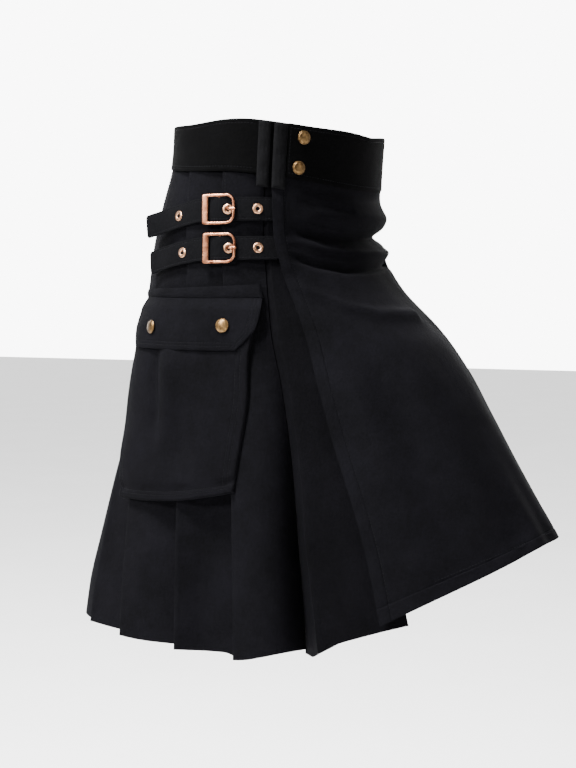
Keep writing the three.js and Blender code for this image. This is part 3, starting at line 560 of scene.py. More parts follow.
def pleats_right(t):
    third, second, first = (float(fold_angle(FOLDS[k], t)) for k in (2, 1, 0))
    line = []
    run_back(line, third, t, 0)
    turn_over(line, third, t)
    face_to(line, third, second, t, 4.6, 0.4)
    turn_over(line, second, t)
    face_to(line, second, first, t, -6.5, 1.7)
    turn_over(line, first, t)
    valley = float(column(LINES, VALLEY, t))
    end = valley + 0.7 / float(rate(valley, t))
    bend = mix(1.2, 4.2, float(ease((t - 0.3) / 0.35)))
    for k in range(1, 33):
        share = k / 32
        sunk = -valley_depth(t) * share**bend
        line.append((mix(first, end, share), sunk + hem_wave(share, t, 3.4, 3.0)))
    return split(line)


def pleats_back(t):
    third, fourth, fifth, sixth = (float(fold_angle(fold, t)) for fold in FOLDS[2:])
    lap = lap_at(t) / float(rate(sixth, t))
    start = 180 - 0.15 / float(rate(180, t))
    line = [(mix(start, sixth - lap, k / 6), -depth_at(t)) for k in range(7)]
    turn_under(line, sixth, t)
    turn_over(line, sixth, t)
    face_to(line, sixth, fifth, t, -4.2, 0.9)
    turn_over(line, fifth, t)
    face_to(line, fifth, fourth, t, 4.4, 2.2)
    turn_over(line, fourth, t)
    face_to(line, fourth, third, t, -4.6, 0.1, close_it=False)
    return split(line)


def under_apron(t):
    valley, fold, edge = (float(column(LINES, key, t)) for key in (VALLEY, FOLD, EDGE))
    start = valley - 0.2 / float(rate(valley, t))
    high = -1.5
    low = float(mix(-1.5, -7.5, ease((t - 0.12) / 0.75)))
    under = float(mix(2.6, 6, ease((t - 0.3) / 0.4)))
    line = []
    corner = fold + 0.25
    line.append((start + 1.6 / float(rate(valley, t)), -valley_depth(t) - 3.2))
    for k in range(12):
        line.append((mix(start, corner, k / 12), mix(-valley_depth(t) - 1.6, high - 0.25, k / 12)))
    line += [(corner, high - 0.25), (fold, high - 0.02), (fold - 0.35, high)]
    for k in range(1, 15):
        line.append((mix(fold - 0.35, edge, k / 14), mix(high, low, k / 14)))
    for k in range(1, 6):
        line.append((edge - under * k / 5, low))
    return split(line)


def apron_rise(t):
    return 0.5 + 0.9 * (1 - ease((t - 0.1) / 0.14))


def strap_rows(t):
    return ease((t - 0.128) / 0.02) * ease((0.31 - t) / 0.03)


# soft upright folds of the apron: angle, width in degrees, rise in mm
APRON_FOLDS_LOW = [
    (16.0, 3.4, -2.6), (9.0, 3.0, 3.0), (2.0, 3.2, -2.6), (-22.0, 5.0, 3.0), (-40.0, 5.0, -3.0),
]
APRON_FOLDS_MIDDLE = [
    (45.0, 5.5, 2.6), (36.0, 6.5, -4.0), (22.0, 9.0, 4.6), (-12.0, 9.0, -3.0), (-34.0, 9.0, 3.6),
]
HEM_TURN = 0.962
APRON_STRIP = 13.5
STRAP_COVER = 2.9
apron_columns = np.concatenate([
    [0.0, 0.8, 2.2, 4.0, 6.5, 9.0, 11.5, 12.6, 13.2, 13.8, 14.4, 15.6, 18.0],
    np.linspace(21.0, 60.0, 16),
])


def front_apron(t):
    edge, fold, valley = (float(column(LINES, key, t)) for key in (EDGE, FOLD, VALLEY))
    scale = float(rate(edge, t))
    near = edge - apron_columns / scale
    far = np.linspace(near[-1], -fold + 0.7, 96)[1:]
    angles = np.concatenate([near, far])
    inside = edge - angles
    rises = apron_rise(t) + creased(angles, t)
    rises = rises + (STRAP_COVER - apron_rise(t)) * ease((9 - inside) / 6) * strap_rows(t)
    mm = inside * scale
    rises = rises + 0.45 * ease((APRON_STRIP - mm) / 0.9) * ease((t - 0.1) / 0.01)
    rises = rises - 0.35 * bell(mm, APRON_STRIP, 0.9)
    low = ease((t - 0.62) / 0.38)
    middle = ease((t - 0.36) / 0.2) * (1 - 0.5 * ease((t - 0.8) / 0.2))
    for folds, grown, shift in (
        (APRON_FOLDS_LOW, low, 3 * (1 - t)),
        (APRON_FOLDS_MIDDLE, middle, 8 * (0.7 - t)),
    ):
        for place, wide, high in folds:
            rises = rises + high * grown * bell(angles - place, shift, wide)
    fade = ease(inside / 8) * ease((t - 0.12) / 0.1) * ease((angles + fold) / 8)
    rises = rises + waves(angles, t, SWELLS) * fade
    rises = rises + 0.35 * (ease((t - HEM_TURN) / 0.002) - bell((t - HEM_TURN) * 480, 0, 1.2))
    line = list(zip(angles.tolist(), rises.tolist()))
    corner = (-fold - 0.25, apron_rise(t) - 0.3)
    line.append(corner)
    end = -valley + 0.2 / float(rate(valley, t))
    for k in range(1, 9):
        line.append((mix(corner[0], end, k / 8), mix(corner[1], -valley_depth(t) - 1.6, k / 8)))
    line.append((end - 1.8 / float(rate(valley, t)), -valley_depth(t) - 3.2))
    return split(line)


def between(*stops):
    """Levels with more of them where it matters: (from, to, count) runs."""
    parts = [np.linspace(a, b, n, endpoint=False) for a, b, n in stops]
    return np.concatenate(parts + [[stops[-1][1]]])


HEM_START = HEM_TURN - 0.004
HEM_STOP = HEM_TURN + 0.004
APRON_LEVELS = between(
    (SKIRT_TOP, 0.3, 72), (0.3, 0.45, 24), (0.45, HEM_START, 52),
    (HEM_START, HEM_STOP, 8), (HEM_STOP, 1.0, 6),
)
PLEAT_LEVELS = between((SKIRT_TOP, 0.3, 26), (0.3, 1.0, 56))


# the pleats' tops run up a little way inside the band
TUCK_STEP = 2.1
TUCK_START = 0.1025
TUCK_RUN = 0.0022
TUCK_LEVELS = np.array([0.0955, 0.0975, 0.099, 0.1003, 0.1012, TUCK_START, 0.105])


def tucked(line_at):
    """A line that steps in behind the band over its top levels."""
    def line(t):
        angles, rises = line_at(max(t, SKIRT_TOP))
        return angles, rises - TUCK_STEP * ease((TUCK_START - t) / TUCK_RUN)
    return line


def mirror(points):
    return points * np.array([-1.0, 1.0, 1.0])


def apron_drop(angles, t):
    """The hem hangs a little lower by the free edge."""
    low = mix(3.5, -3.5, ease((36 - angles) / 44)) - 3.5 * ease((-50 - angles) / 14)
    return low * ease((t - 0.7) / 0.3)


cloth("front_apron", strip(APRON_LEVELS, front_apron, WALL, apron_drop), BODY_CLOTH,
      (0.68, 0.48), 0.215, rests=["waistband_front"])


def under_drop(angles, t):
    """The under-apron hangs lower behind the apron's edge."""
    return 1.25 * np.clip(61.2 - angles, 0, None) * ease((t - 0.8) / 0.2)


cloth("under_apron", strip(PLEAT_LEVELS, under_apron, WALL, under_drop), UNDER_SHADED_CLOTH,
      (0.115, 0.52), 0.036, rests=["waistband_back"])


def right_drop(angles, t):
    """The first pleat hangs lower at its fold and higher in the valley."""
    first = mix(-5, 6.5, ease((angles - 70) / 12))
    second = mix(first, 2, ease((angles - 82) / 3))
    return mix(second, -1.5, ease((angles - 95.5) / 3)) * ease((t - 0.8) / 0.2)


def back_drop(angles, t):
    return -3 * ease((150 - angles) / 14) * ease((t - 0.8) / 0.2)


for name, line_at, flat, area, drop in (
    ("pleats_right", pleats_right, (0.45, 0.52), 0.165, right_drop),
    ("pleats_back_right", pleats_back, (0.5, 0.53), 0.18, back_drop),
):
    levels = np.concatenate([TUCK_LEVELS, PLEAT_LEVELS[1:]])
    outer, inner, uv = strip(levels, tucked(line_at), WALL, drop)
    for part, grids in (
        (name, (outer, inner, uv)),
        (name.replace("right", "left"), (mirror(outer), mirror(inner), uv)),
    ):
        cloth(part, grids, BODY_CLOTH, flat, area, "folded", ["waistband_back"], 60)


# the waistband in two lengths
BAND_LEVELS = between(
    (0.0, 0.004, 4), (0.004, 0.012, 5), (0.012, 0.088, 18), (0.088, 0.096, 5), (0.096, BAND_END, 4),
)
BAND_ROWS = (0.008, 0.092)
BAND_SEAM = -84.0


def band_wave(angles, t):
    """The swell of the band with its sewn grooves, and the roll of its edges."""
    roll = -0.7 * sum(bell(t, at, 0.0016) for at in (0.0, BAND_END))
    groove = -0.35 * sum(bell(t, at, 0.0016) for at in BAND_ROWS)
    return 0.5 * waves(angles * 1.4, t * 3, SWELLS) + groove, roll


def band_strip(angles, rises):
    outer = []
    inner = []
    uv = []
    for t in BAND_LEVELS:
        wave, roll = band_wave(angles, t)
        lower = np.array([0.0, 0.0, 1.0]) * top_dip(angles, t)[:, None]
        outer.append(off(angles, t, rises + BAND_WALL / 2 + wave * 0.8 + roll) - lower)
        inner.append(off(angles, t, rises - BAND_WALL / 2 - roll * 0.6) - lower)
        outer[-1][:, 2] -= 0.9 * ease((t - 0.094) / 0.006)
        uv.append(uv_of(angles, np.full(len(angles), t)))
    return np.array(outer), np.array(inner), np.array(uv)


angles = np.concatenate([np.linspace(360 + BAND_SEAM, 82, 150), np.linspace(80, 26, 60)])
rises = np.where(angles < 80, mix(-1.5, 0.35, ease((angles - 54) / 20)), 0.35)
cloth("waistband_back", band_strip(angles, rises), BAND_SHADED_CLOTH, (0.6, 0.056), held="stretched")
angles = np.linspace(51.2, BAND_SEAM + 0.12, 120)
rises = mix(2.15, 0.35, ease((20 - angles) / 90))
cloth("waistband_front", band_strip(angles, rises), BAND_SHADED_CLOTH, (0.31, 0.058), held="stretched")

# belt loops: thick folded tubes sewn at their two ends
LOOP_TOP = 0.0008
LOOP_LOW = 0.126
LOOP_END = 0.006
LOOPS = [
    ("belt_loop_right_a", 66.0, 59.8, 1.6),
    ("belt_loop_right_b", 58.3, 51.5, 2.33),
    ("belt_loop_back_right", 171.5, 165.5, 2.4),
    ("belt_loop_back_left", -165.5, -171.5, 2.4),
    ("belt_loop_left_a", -62.5, -68.5, 2.3),
    ("belt_loop_left_b", -52.0, -58.0, 2.5),
]
for name, left, right, seat in LOOPS:
    levels = between((LOOP_TOP, LOOP_END, 6), (LOOP_END, 0.12, 34), (0.12, LOOP_LOW, 6))
    shares = 0.5 - 0.5 * np.cos(np.linspace(0, math.pi, 19))
    crown = 0.1 + 0.9 * np.sqrt(np.clip(1 - (2 * shares - 1) ** 2, 0, 1))
    angle = mix(left, right, shares)[None, :]
    t = levels[:, None]
    ends = 0.35 + 0.65 * quarter_round((t - LOOP_TOP) / LOOP_END)
    ends = ends * (0.35 + 0.65 * quarter_round((LOOP_LOW - t) / LOOP_END))
    soft = 1 + 0.12 * np.sin(t * 150 + left) + 0.05 * np.sin(angle * 3)
    lower = np.array([0.0, 0.0, 1.0]) * top_dip(angle, t)[..., None]
    top = off(angle, t, seat + LOOP_WALL * crown[None, :] * ends * np.minimum(soft, 1.05)) - lower
    bottom = off(angle, t, np.full((len(levels), len(shares)), seat)) - lower
    uv = uv_of(*np.broadcast_arrays(angle, t))
    cloth(name, (top, bottom, uv), LOOP_LIT_CLOTH, (0.017, 0.073), None, "laid", ["waistband_back"], 60)


# straps and their hardware: step, angle, height and rise along each strap
STRAPS = {
    "upper": np.array([
        [0, 54.2, -102, 0.25], [1, 57.6, -102, 0.35], [2, 61.5, -102, 1.5],
        [3, 68, -102, 2.9], [4, 95, -103, 3.0],
        [5, 104, -106, 3.0], [6, 113, -110, 4.7], [7, 121, -115, 10], [8, 128, -120, 19.5],
    ], float),
    "lower": np.array([
        [0, 52.6, -144, 0.55], [1, 56, -144, 0.7], [2, 60.5, -144, 1.85],
        [3, 68, -144, 2.9], [4, 93, -145, 3.0],
        [5, 103, -148, 3.0], [6, 113, -152, 3.4], [7, 121, -156, 5], [8, 127.5, -160, 9],
    ], float),
}
BUCKLE_AT = {"upper": 85.2, "lower": 84.1}
BAR_TOP = 5.05
STRAP_ROW = 0.8
STRAP_TIP = 0.7
FRAME_RISE = 3.65
SIDE_CURVE = 180.0
EYELETS = {"upper": (64.9, 80.2, 109.7), "lower": (64.4, 79.1, 104.8)}


def level_at(angle, height):
    """The level at which the worn shape has a height."""
    angle, height = np.broadcast_arrays(np.asarray(angle, float), np.asarray(height, float))
    t = np.full(angle.shape, 0.2)
    for _ in range(7):
        t = t + (worn(angle, t)[..., 2] - height) / 570
    return t


def strap_rise(x, plain):
    span = 12.5 if x > 0 else 11.0
    fall = 0.27 if x > 0 else 0.31
    near = min(abs(x), span)
    straight = BAR_TOP - fall * max(near - 1.8, 0) + near * near / SIDE_CURVE
    return float(mix(straight, plain, ease((abs(x) - span) / 8)))


def strap_at(key, angle):
    """Height, level and rise of a strap's middle line at an angle."""
    table = STRAPS[key]
    steps = np.linspace(0, len(table) - 1, 801)
    step = float(np.interp(angle, column(table, 1, steps), steps))
    height = float(column(table, 2, step))
    t = float(level_at(angle, height))
    x = (BUCKLE_AT[key] - angle) * float(rate(angle, t))
    return height, t, strap_rise(x, float(column(table, 3, step)))


def strap_frame(key, angle):
    """Place and directions on a strap: forward along it, up across it, out from the body."""
    spots = []
    for step in (0.6, 0.0, -0.6):
        height, t, rise = strap_at(key, angle + step)
        p = off(angle + step, t, rise)
        p[2] = height
        spots.append((p, t))
    forward = unit(spots[2][0] - spots[0][0])
    out = outward(angle, spots[1][1])
    out = unit(out - forward * np.dot(out, forward))
    return spots[1][0], forward, np.cross(out, forward), out


def strap_grid(key, wall, angles, half, shares):
    outer = []
    inner = []
    uv = []
    last = STRAPS[key][-1][1]
    for i, angle in enumerate(angles):
        place, forward, up, out = strap_frame(key, min(angle, last - STRAP_TIP))
        if angle > last - STRAP_TIP:
            place = place - forward * (angle - last + STRAP_TIP) * float(rate(angle, 0.2))
        height, t, rise = strap_at(key, angle)
        plain = off(angle, t, rise)
        tight = half - (4.5 if i < 3 else 0.0)
        gap_end = (last - angle) * STRAP_DEGREE
        tight -= 2.2 * max(0.0, 1 - gap_end / 2.2) ** 2
        y = shares * tight
        seat = off(angle, level_at(angle, height + y), np.full(len(y), rise))
        shift = (seat - plain) @ out
        base = place + up * y[:, None] + out * shift[:, None]
        rim = 0.35 * ease((np.abs(shares) - 0.93) / 0.07)
        groove = 0.28 * bell((np.abs(shares) - STRAP_ROW) * half, 0, 0.7)
        outer.append(base + out * (wall / 2 - rim - groove)[:, None])
        inner.append(base - out * (wall / 2 - rim)[:, None])
        uv.append(np.stack([np.full(len(y), angle * STRAP_DEGREE), shares * half], -1))
    return np.array(outer), np.array(inner), np.array(uv)


half_shares = np.array([0.3, 0.6, 0.76, 0.8, 0.84, 0.9, 0.97, 1])
strap_shares = np.concatenate([-half_shares[::-1], [0], half_shares])


def ring_solid(profile, segments):
    """A turned body from a closed profile of (radius, height)."""
    turn = np.linspace(0, 2 * math.pi, segments, endpoint=False)
    profile = np.array(profile, float)
    points = np.stack([
        profile[None, :, 0] * np.cos(turn)[:, None],
        profile[None, :, 0] * np.sin(turn)[:, None],
        np.broadcast_to(profile[None, :, 1], (segments, len(profile))),
    ], -1)
    count = len(profile)
    faces = []
    for i in range(segments):
        j = (i + 1) % segments
        for k in range(count):
            m = (k + 1) % count
            faces.append((i * count + k, j * count + k, j * count + m, i * count + m))
    return points.reshape(-1, 3), faces


def turned(profile, segments):
    """A turned body whose profile begins and ends on the axis."""
    turn = np.linspace(0, 2 * math.pi, segments, endpoint=False)
    verts = [(0.0, 0.0, profile[0][1]), (0.0, 0.0, profile[-1][1])]
    for r, z in profile[1:-1]:
        verts += [(r * math.cos(a), r * math.sin(a), z) for a in turn]
    faces = []
    rows = len(profile) - 2
    for i in range(segments):
        j = (i + 1) % segments
        faces.append((0, 2 + j, 2 + i))
        for k in range(rows - 1):
            a = 2 + k * segments
            faces.append((a + i, a + j, a + segments + j, a + segments + i))
        a = 2 + (rows - 1) * segments
        faces.append((a + i, a + j, 1))
    return np.array(verts), faces


def placed(points, place, forward, up, out):
    points = np.asarray(points, float)
    return place + points[:, :1] * forward + points[:, 1:2] * up + points[:, 2:3] * out


def oriented(verts, faces):
    """The faces, turned round if they look inwards."""
    volume = 0.0
    for face in faces:
        for i in range(1, len(face) - 1):
            volume += float(np.dot(verts[face[0]], np.cross(verts[face[i]], verts[face[i + 1]])))
    if volume < 0:
        return [tuple(reversed(face)) for face in faces]
    return faces


def metal_piece(name, verts, faces, seat, material, replaced, angle):
    verts = placed(verts, *seat)
    finish_piece(name, verts, oriented(verts, faces), material, replaced, angle=angle)


def rounded(outline, low, high, corner):
    """Closed loops that build a plate with rounded rims from an outline."""
    outline = np.array(outline, float)
    ahead = np.roll(outline, -1, 0) - outline
    behind = outline - np.roll(outline, 1, 0)
    tangent = unit(unit(ahead) + unit(behind))
    inward = np.stack([-tangent[:, 1], tangent[:, 0]], -1)
    loops = []
    for k in range(5):
        phi = math.pi / 2 * k / 4
        inset = corner * (1 - math.cos(phi))
        loops.append((inset, high - corner + corner * math.sin(phi)))
    below = [(inset, low + high - z) for inset, z in reversed(loops)]
    rings = []
    for inset, z in below + loops:
        ring = outline + inward * inset
        rings.append(np.concatenate([ring, np.full((len(ring), 1), z)], 1))
    return rings


def arc(x, y, rx, ry, start, count):
    turns = start + np.linspace(0, math.pi / 2, count + 1)
    return [(x + rx * math.cos(a), y + ry * math.sin(a)) for a in turns]


def buckle():
    """A D-shaped frame with a broad flat side behind and a rounded rail in front."""
    long = 19.0
    tall = 16.5
    rim = 2.9
    thick = 2.4
    quarter = math.pi / 2
    outline = arc(-long + 2.5, -tall + 2.5, 2.5, 2.5, math.pi, 8)
    outline += arc(long - 10, -tall + 11, 10, 11, -quarter, 16)
    outline += arc(long - 10, tall - 11, 10, 11, 0, 16)
    outline += arc(-long + 2.5, tall - 2.5, 2.5, 2.5, quarter, 8)
    window = arc(-long + 8, -tall + rim + 1, 1, 1, math.pi, 8)
    window += arc(long - 10, -tall + 10, 7, 10 - rim, -quarter, 16)
    window += arc(long - 10, tall - 10, 7, 10 - rim, 0, 16)
    window += arc(-long + 8, tall - rim - 1, 1, 1, quarter, 8)
    rings = rounded(outline, 0.0, thick, 0.95)
    holes = [ring[::-1] for ring in rounded(window[::-1], 0.0, thick, 0.8)]
    count = len(outline)
    loops = rings + holes[::-1]
    verts = np.concatenate(loops)
    faces = []
    total = len(loops)
    for a in range(total):
        b = (a + 1) % total
        for i in range(count):
            j = (i + 1) % count
            faces.append((a * count + i, a * count + j, b * count + j, b * count + i))
    verts[:, 2] += FRAME_RISE
    return verts, faces


def tube_faces(rings, segments):
    """Faces along a row of closed rings, with one over each end."""
    faces = []
    for i in range(rings - 1):
        a = i * segments
        b = a + segments
        for k in range(segments):
            j = (k + 1) % segments
            faces.append((a + k, a + j, b + j, b + k))
    faces.append(tuple(range(segments))[::-1])
    faces.append(tuple((rings - 1) * segments + k for k in range(segments)))
    return faces


def tube(path, radii, segments):
    path = np.array(path, float)
    verts = []
    side = np.array([0.0, 1.0, 0.0])
    for i, p in enumerate(path):
        along = unit(path[min(i + 1, len(path) - 1)] - path[max(i - 1, 0)])
        up = unit(np.cross(along, side))
        for k in range(segments):
            a = 2 * math.pi * k / segments
            verts.append(p + side * math.cos(a) * radii[i][0] + up * math.sin(a) * radii[i][1])
    return np.array(verts), tube_faces(len(path), segments)


def smooth_path(points, steps):
    points = np.array(points, float)
    x = np.arange(len(points), dtype=float)
    table = np.concatenate([x[:, None], points], 1)
    at = np.linspace(0, len(points) - 1, steps)
    return np.stack([column(table, k + 1, at) for k in range(points.shape[1])], -1)


for key in ("upper", "lower"):
    first = STRAPS[key][0][1]
    last = STRAPS[key][-1][1]
    middle = BUCKLE_AT[key]
    angles = np.concatenate([
        np.linspace(first, middle - 11, 26, endpoint=False),
        np.linspace(middle - 11, middle + 11, 56, endpoint=False),
        np.linspace(middle + 11, last - 1, 30, endpoint=False),
        np.linspace(last - 1, last, 8),
    ])
    grids = strap_grid(key, STRAP_WALL, angles, STRAP_WIDTH / 2, strap_shares)
    cloth("strap_" + key, grids, STRAP_LIT_CLOTH, (0.0254, 0.175), None, "laid", ["pleats_right"], 60)
    for i, angle in enumerate(EYELETS[key]):
        seat = strap_frame(key, angle)
        low = STRAP_WALL / 2 - 0.25
        top = STRAP_WALL / 2 + (0.35 if i == 1 else 0.2)
        profile = [(EYELET_HOLE - 0.55, low)]
        for a in np.linspace(-1.2, 1.4, 6):
            profile.append((EYELET_OUTER - 0.35 + 0.35 * math.cos(a), top + 0.35 * math.sin(a)))
        for a in np.linspace(0.15, 0.85, 8):
            radius = mix(EYELET_OUTER - 0.5, EYELET_HOLE, a)
            profile.append((radius, top + 0.42 + 0.5 * math.sin(math.pi * a)))
        profile += [(EYELET_HOLE - 0.35, top + 0.25), (EYELET_HOLE - 0.55, top - 0.2)]
        verts, faces = ring_solid(profile, 40)
        name = "eyelet_%s_%d" % (key, i + 1)
        metal_piece("ring_" + name, verts, faces, seat, EYELET_METAL, [name], 45)
    seat = (off(middle, strap_at(key, middle)[1], 0.0), *strap_frame(key, middle)[1:])
    verts, faces = buckle()
    metal_piece("frame_" + key, verts, faces, seat, COPPER, ["buckle_frame_" + key], 70)
    bar = smooth_path([(0, -15.2, 3.3), (0, -13.5, 2.9), (0, 0, 2.85), (0, 13.5, 2.9), (0, 15.2, 3.3)], 13)
    verts = []
    for x, y, z in bar:
        for k in range(12):
            a = 2 * math.pi * k / 12
            verts.append((x + 1.2 * math.cos(a), y, z + 0.85 * math.sin(a)))
    metal_piece("bar_" + key, verts, tube_faces(len(bar), 12), seat, COPPER, (), 70)
    path = smooth_path([
        (9.3, 0, 3.2), (10.0, 0, 4.6), (11.3, 0, 6.1), (13.3, 0, 7.1), (16, 0, 7.35), (19.2, 0, 7.2),
        (20.1, 0, 6.6),
    ], 30)
    widths = [(mix(1.5, 1.15, i / 29), mix(1.0, 0.85, i / 29)) for i in range(28)]
    verts, faces = tube(path, widths + [(0.9, 0.6), (0.4, 0.3)], 14)
    metal_piece("tongue_" + key, verts, faces, seat, COPPER, ["prong_" + key], 70)
    tab_angles = middle + np.linspace(34, 2, 30) / float(rate(middle + 5, 0.2))
    tab_outer = []
    tab_inner = []
    tab_uv = []
    for angle in tab_angles:
        y = np.array([-12.4, -11.8, -8, -3, 3, 8, 11.8, 12.4])
        levels = level_at(angle, strap_at(key, angle)[0] + y)
        tab_outer.append(off(angle, levels, np.full(len(y), 1.6)))
        tab_inner.append(off(angle, levels, np.full(len(y), 0.75)))
        tab_uv.append(np.stack([np.full(len(y), angle * STRAP_DEGREE), y], -1))
    grids = (np.array(tab_outer), np.array(tab_inner), np.array(tab_uv))
    cloth("buckle_tab_" + key, grids, STRAP_LIT_CLOTH, (0.025, 0.033), None, "laid", ["pleats_right"])


# snap caps: a domed head with a rolled rim
def cap(place, angle, level, rise):
    t = float(level_at(angle, float(worn(angle, level)[2])))
    out = outward(angle, t)
    forward = unit(worn(angle - 0.5, t) - worn(angle + 0.5, t))
    up = np.cross(out, forward)
    r = CAP_RADIUS
    profile = [(0.0, 0.0), (r * 0.95, 0.0)]
    for a in np.linspace(-1.2, 1.5, 8):
        profile.append((r - 0.55 + 0.55 * math.cos(a), 0.62 + 0.6 * math.sin(a)))
    profile += [(r * 0.9, 1.12), (r * 0.86, 1.1)]
    for s in np.linspace(0, 1, 9):
        profile.append((r * 0.84 * math.cos(s * math.pi / 2), 1.15 + 1.55 * math.sin(s * math.pi / 2) ** 0.9))
    profile[-1] = (0.0, 2.7)
    verts, faces = turned(profile, 48)
    seat = (off(angle, t, rise), forward, up, out)
    metal_piece("cap_" + place, verts, faces, seat, BRASS, ["snap_" + place], 70)


cap("band_upper", 43.6, 0.022, 3.75)
cap("band_lower", 45.2, 0.079, 3.75)

# the pocket
POCKET = np.array([
    [0.35, 134, 68.5], [0.45, 134, 75.2], [0.54, 133, 76.9], [0.63, 131, 79.0], [0.745, 126, 81.3],
], float)
POCKET_TOP = 0.372
POCKET_LOW = 0.742
POCKET_WIDE = 150.0
POCKET_TALL = (POCKET_LOW - POCKET_TOP) * CLOTH_DROP
POCKET_ROWS = (6.2, 9.8)


def pouch(angles, t):
    """The pocket stands out most near its rear edge."""
    high = 5.5 * ease((t - 0.365) / 0.05) * ease((0.74 - t) / 0.24)
    return (high + 3.5 * bell(t, 0.66, 0.05)) * bell(angles, 125, 11)


def pocket_face(s, v):
    level = mix(POCKET_TOP, POCKET_LOW, v)
    angles = mix(column(POCKET, 1, level), column(POCKET, 2, level), s)
    sag = 1.6 * np.sin(math.pi * s) * ease(v / 0.5) * ease((1 - v) / 0.2)
    path = 0.3 + 0.09 * np.sin(2.6 * v)
    fold = -4.6 * bell(s, path, 0.045) * ease((v - 0.12) / 0.2) * ease((0.8 - v) / 0.3)
    ridge = 4.2 * bell(s - path, 0.12, 0.07) * ease((v - 0.1) / 0.2) * ease((0.9 - v) / 0.3)
    hollow = -5.5 * bell(s, 0.6, 0.16) * bell(v, 0.66, 0.2)
    crown = 2.6 * bell(s, 0.55, 0.2) * bell(v, 0.3, 0.12)
    lip = -2.4 * bell(v, 0.94, 0.02) * (0.7 + 0.3 * np.sin(21 * s))
    return POCKET_BASE + POCKET_DEPTH + sag + fold + ridge + hollow + crown + lip + pouch(angles, level)


def raised(s, v):
    """The pocket's bottom edge rises towards its front corner."""
    return 0.0273 * s**3.8 * ease((v - 0.45) / 0.55)


def pocket_grid(inset, lower):
    edge = np.array([0.0, 0.15, 0.5, 1.0, 1.7, 2.6, 3.6, 5.0, 5.8, 6.2, 6.6, 7.2, 8.4, 9.4, 9.8, 10.2, 11.0])
    middle = np.linspace(12.5, 137.5, 56)
    across = np.concatenate([edge, middle, POCKET_WIDE - edge[::-1]]) / POCKET_WIDE
    tall = POCKET_TALL
    down = np.concatenate([np.linspace(0, tall - 14, 60), tall - edge[::-1]]) / tall
    rows = []
    uv = []
    for v in down:
        level = mix(POCKET_TOP, POCKET_LOW - inset / CLOTH_DROP, v)
        back = float(column(POCKET, 1, level)) - inset / float(rate(130, level))
        front = float(column(POCKET, 2, level)) + inset / float(rate(80, level))
        angles = mix(back, front, across)
        near = np.minimum(across, 1 - across) * POCKET_WIDE
        low = (1 - v) * tall
        face = pocket_face(across, v) - lower
        if not lower:
            for line in POCKET_ROWS:
                face = face - 0.4 * bell(near, line, 0.55) * ease((tall - low) / 4)
                face = face - 0.4 * bell(low, line, 0.55) * ease((near - 4) / 3)
            face = face + 0.5 * waves(angles + 40, level, SWELLS)
        rise = mix(POCKET_BASE, face, quarter_round(np.minimum(near, low) / 2.2))
        rows.append(off(angles, level - raised(across, v), rise))
        uv.append(np.stack([across * POCKET_WIDE, np.full(len(across), v * 207.0)], -1))
    return np.array(rows), np.array(uv)


outer, uv = pocket_grid(0.0, 0.0)
inner, _ = pocket_grid(1.3, 1.4)
cloth("pocket_bag", (outer, inner, uv), BODY_CLOTH, (0.175, 0.225), None, "hung", ["pleats_right"], 70)

FLAP_TOP = 0.345
FLAP_LOW = 0.447
FLAP_WIDE = 160.0
FLAP_ROWS = (4.6, 8.1)


def flap_edges(t):
    v = (t - FLAP_TOP) / (FLAP_LOW - FLAP_TOP)
    cut = max(0.0, (v - 0.62) / 0.38)
    front = mix(66.8, 72.2, max(0.0, min(v / 0.62, 1)) ** 1.2) + cut * 7.2
    back = mix(134, 136, min(v / 0.62, 1)) - cut * 8
    return back, front


def flap_rise(t):
    return mix(2.25, POCKET_BASE + POCKET_DEPTH + 1.75, ease((t - FLAP_TOP + 0.004) / 0.03))


def flap_swell(s, angles, t):
    return 1.6 * np.sin(math.pi * s) * ease((t - 0.36) / 0.05) + pouch(angles, t)


def flap_grid(extra):
    edge = np.array([0.0, 0.6, 1.6, 3.0, 4.0, 4.6, 5.2, 6.2, 7.5, 8.1, 8.7, 9.8])
    across = np.concatenate([edge, np.linspace(12, 148, 52), FLAP_WIDE - edge[::-1]]) / FLAP_WIDE
    tall = (FLAP_LOW - FLAP_TOP) * CLOTH_DROP
    down = np.concatenate([np.linspace(0, tall - 12, 22), tall - edge[::-1]]) / tall
    rows = []
    uv = []
    for v in down:
        t = mix(FLAP_TOP, FLAP_LOW, v)
        back, front = flap_edges(t)
        angles = mix(back, front, across)
        near = np.minimum(across, 1 - across) * FLAP_WIDE
        low = (1 - v) * tall
        rise = flap_rise(t) + flap_swell(across, angles, t) + extra
        gap = np.minimum(near, low)
        if extra > 0:
            rise = rise - 0.5 * (1 - ease(gap / 1.4))
            for line in FLAP_ROWS:
                rise = rise - 0.32 * bell(near, line, 0.5)
                rise = rise - 0.32 * bell(low, line, 0.5) * ease((near - line + 2) / 2)
            rise = rise + 0.35 * waves(angles + 15, t, SWELLS)
        else:
            rise = rise + 0.4 * (1 - ease(gap / 1.4))
        rows.append(off(angles, np.full(len(angles), t), rise))
        uv.append(np.stack([across * FLAP_WIDE, np.full(len(across), v * 57.0)], -1))
    return np.array(rows), np.array(uv)


outer, uv = flap_grid(0.8)
inner, _ = flap_grid(-0.8)
cloth("pocket_flap", (outer, inner, uv), BODY_CLOTH, (0.185, 0.058), None, "hung", ["pocket_bag"], 70)


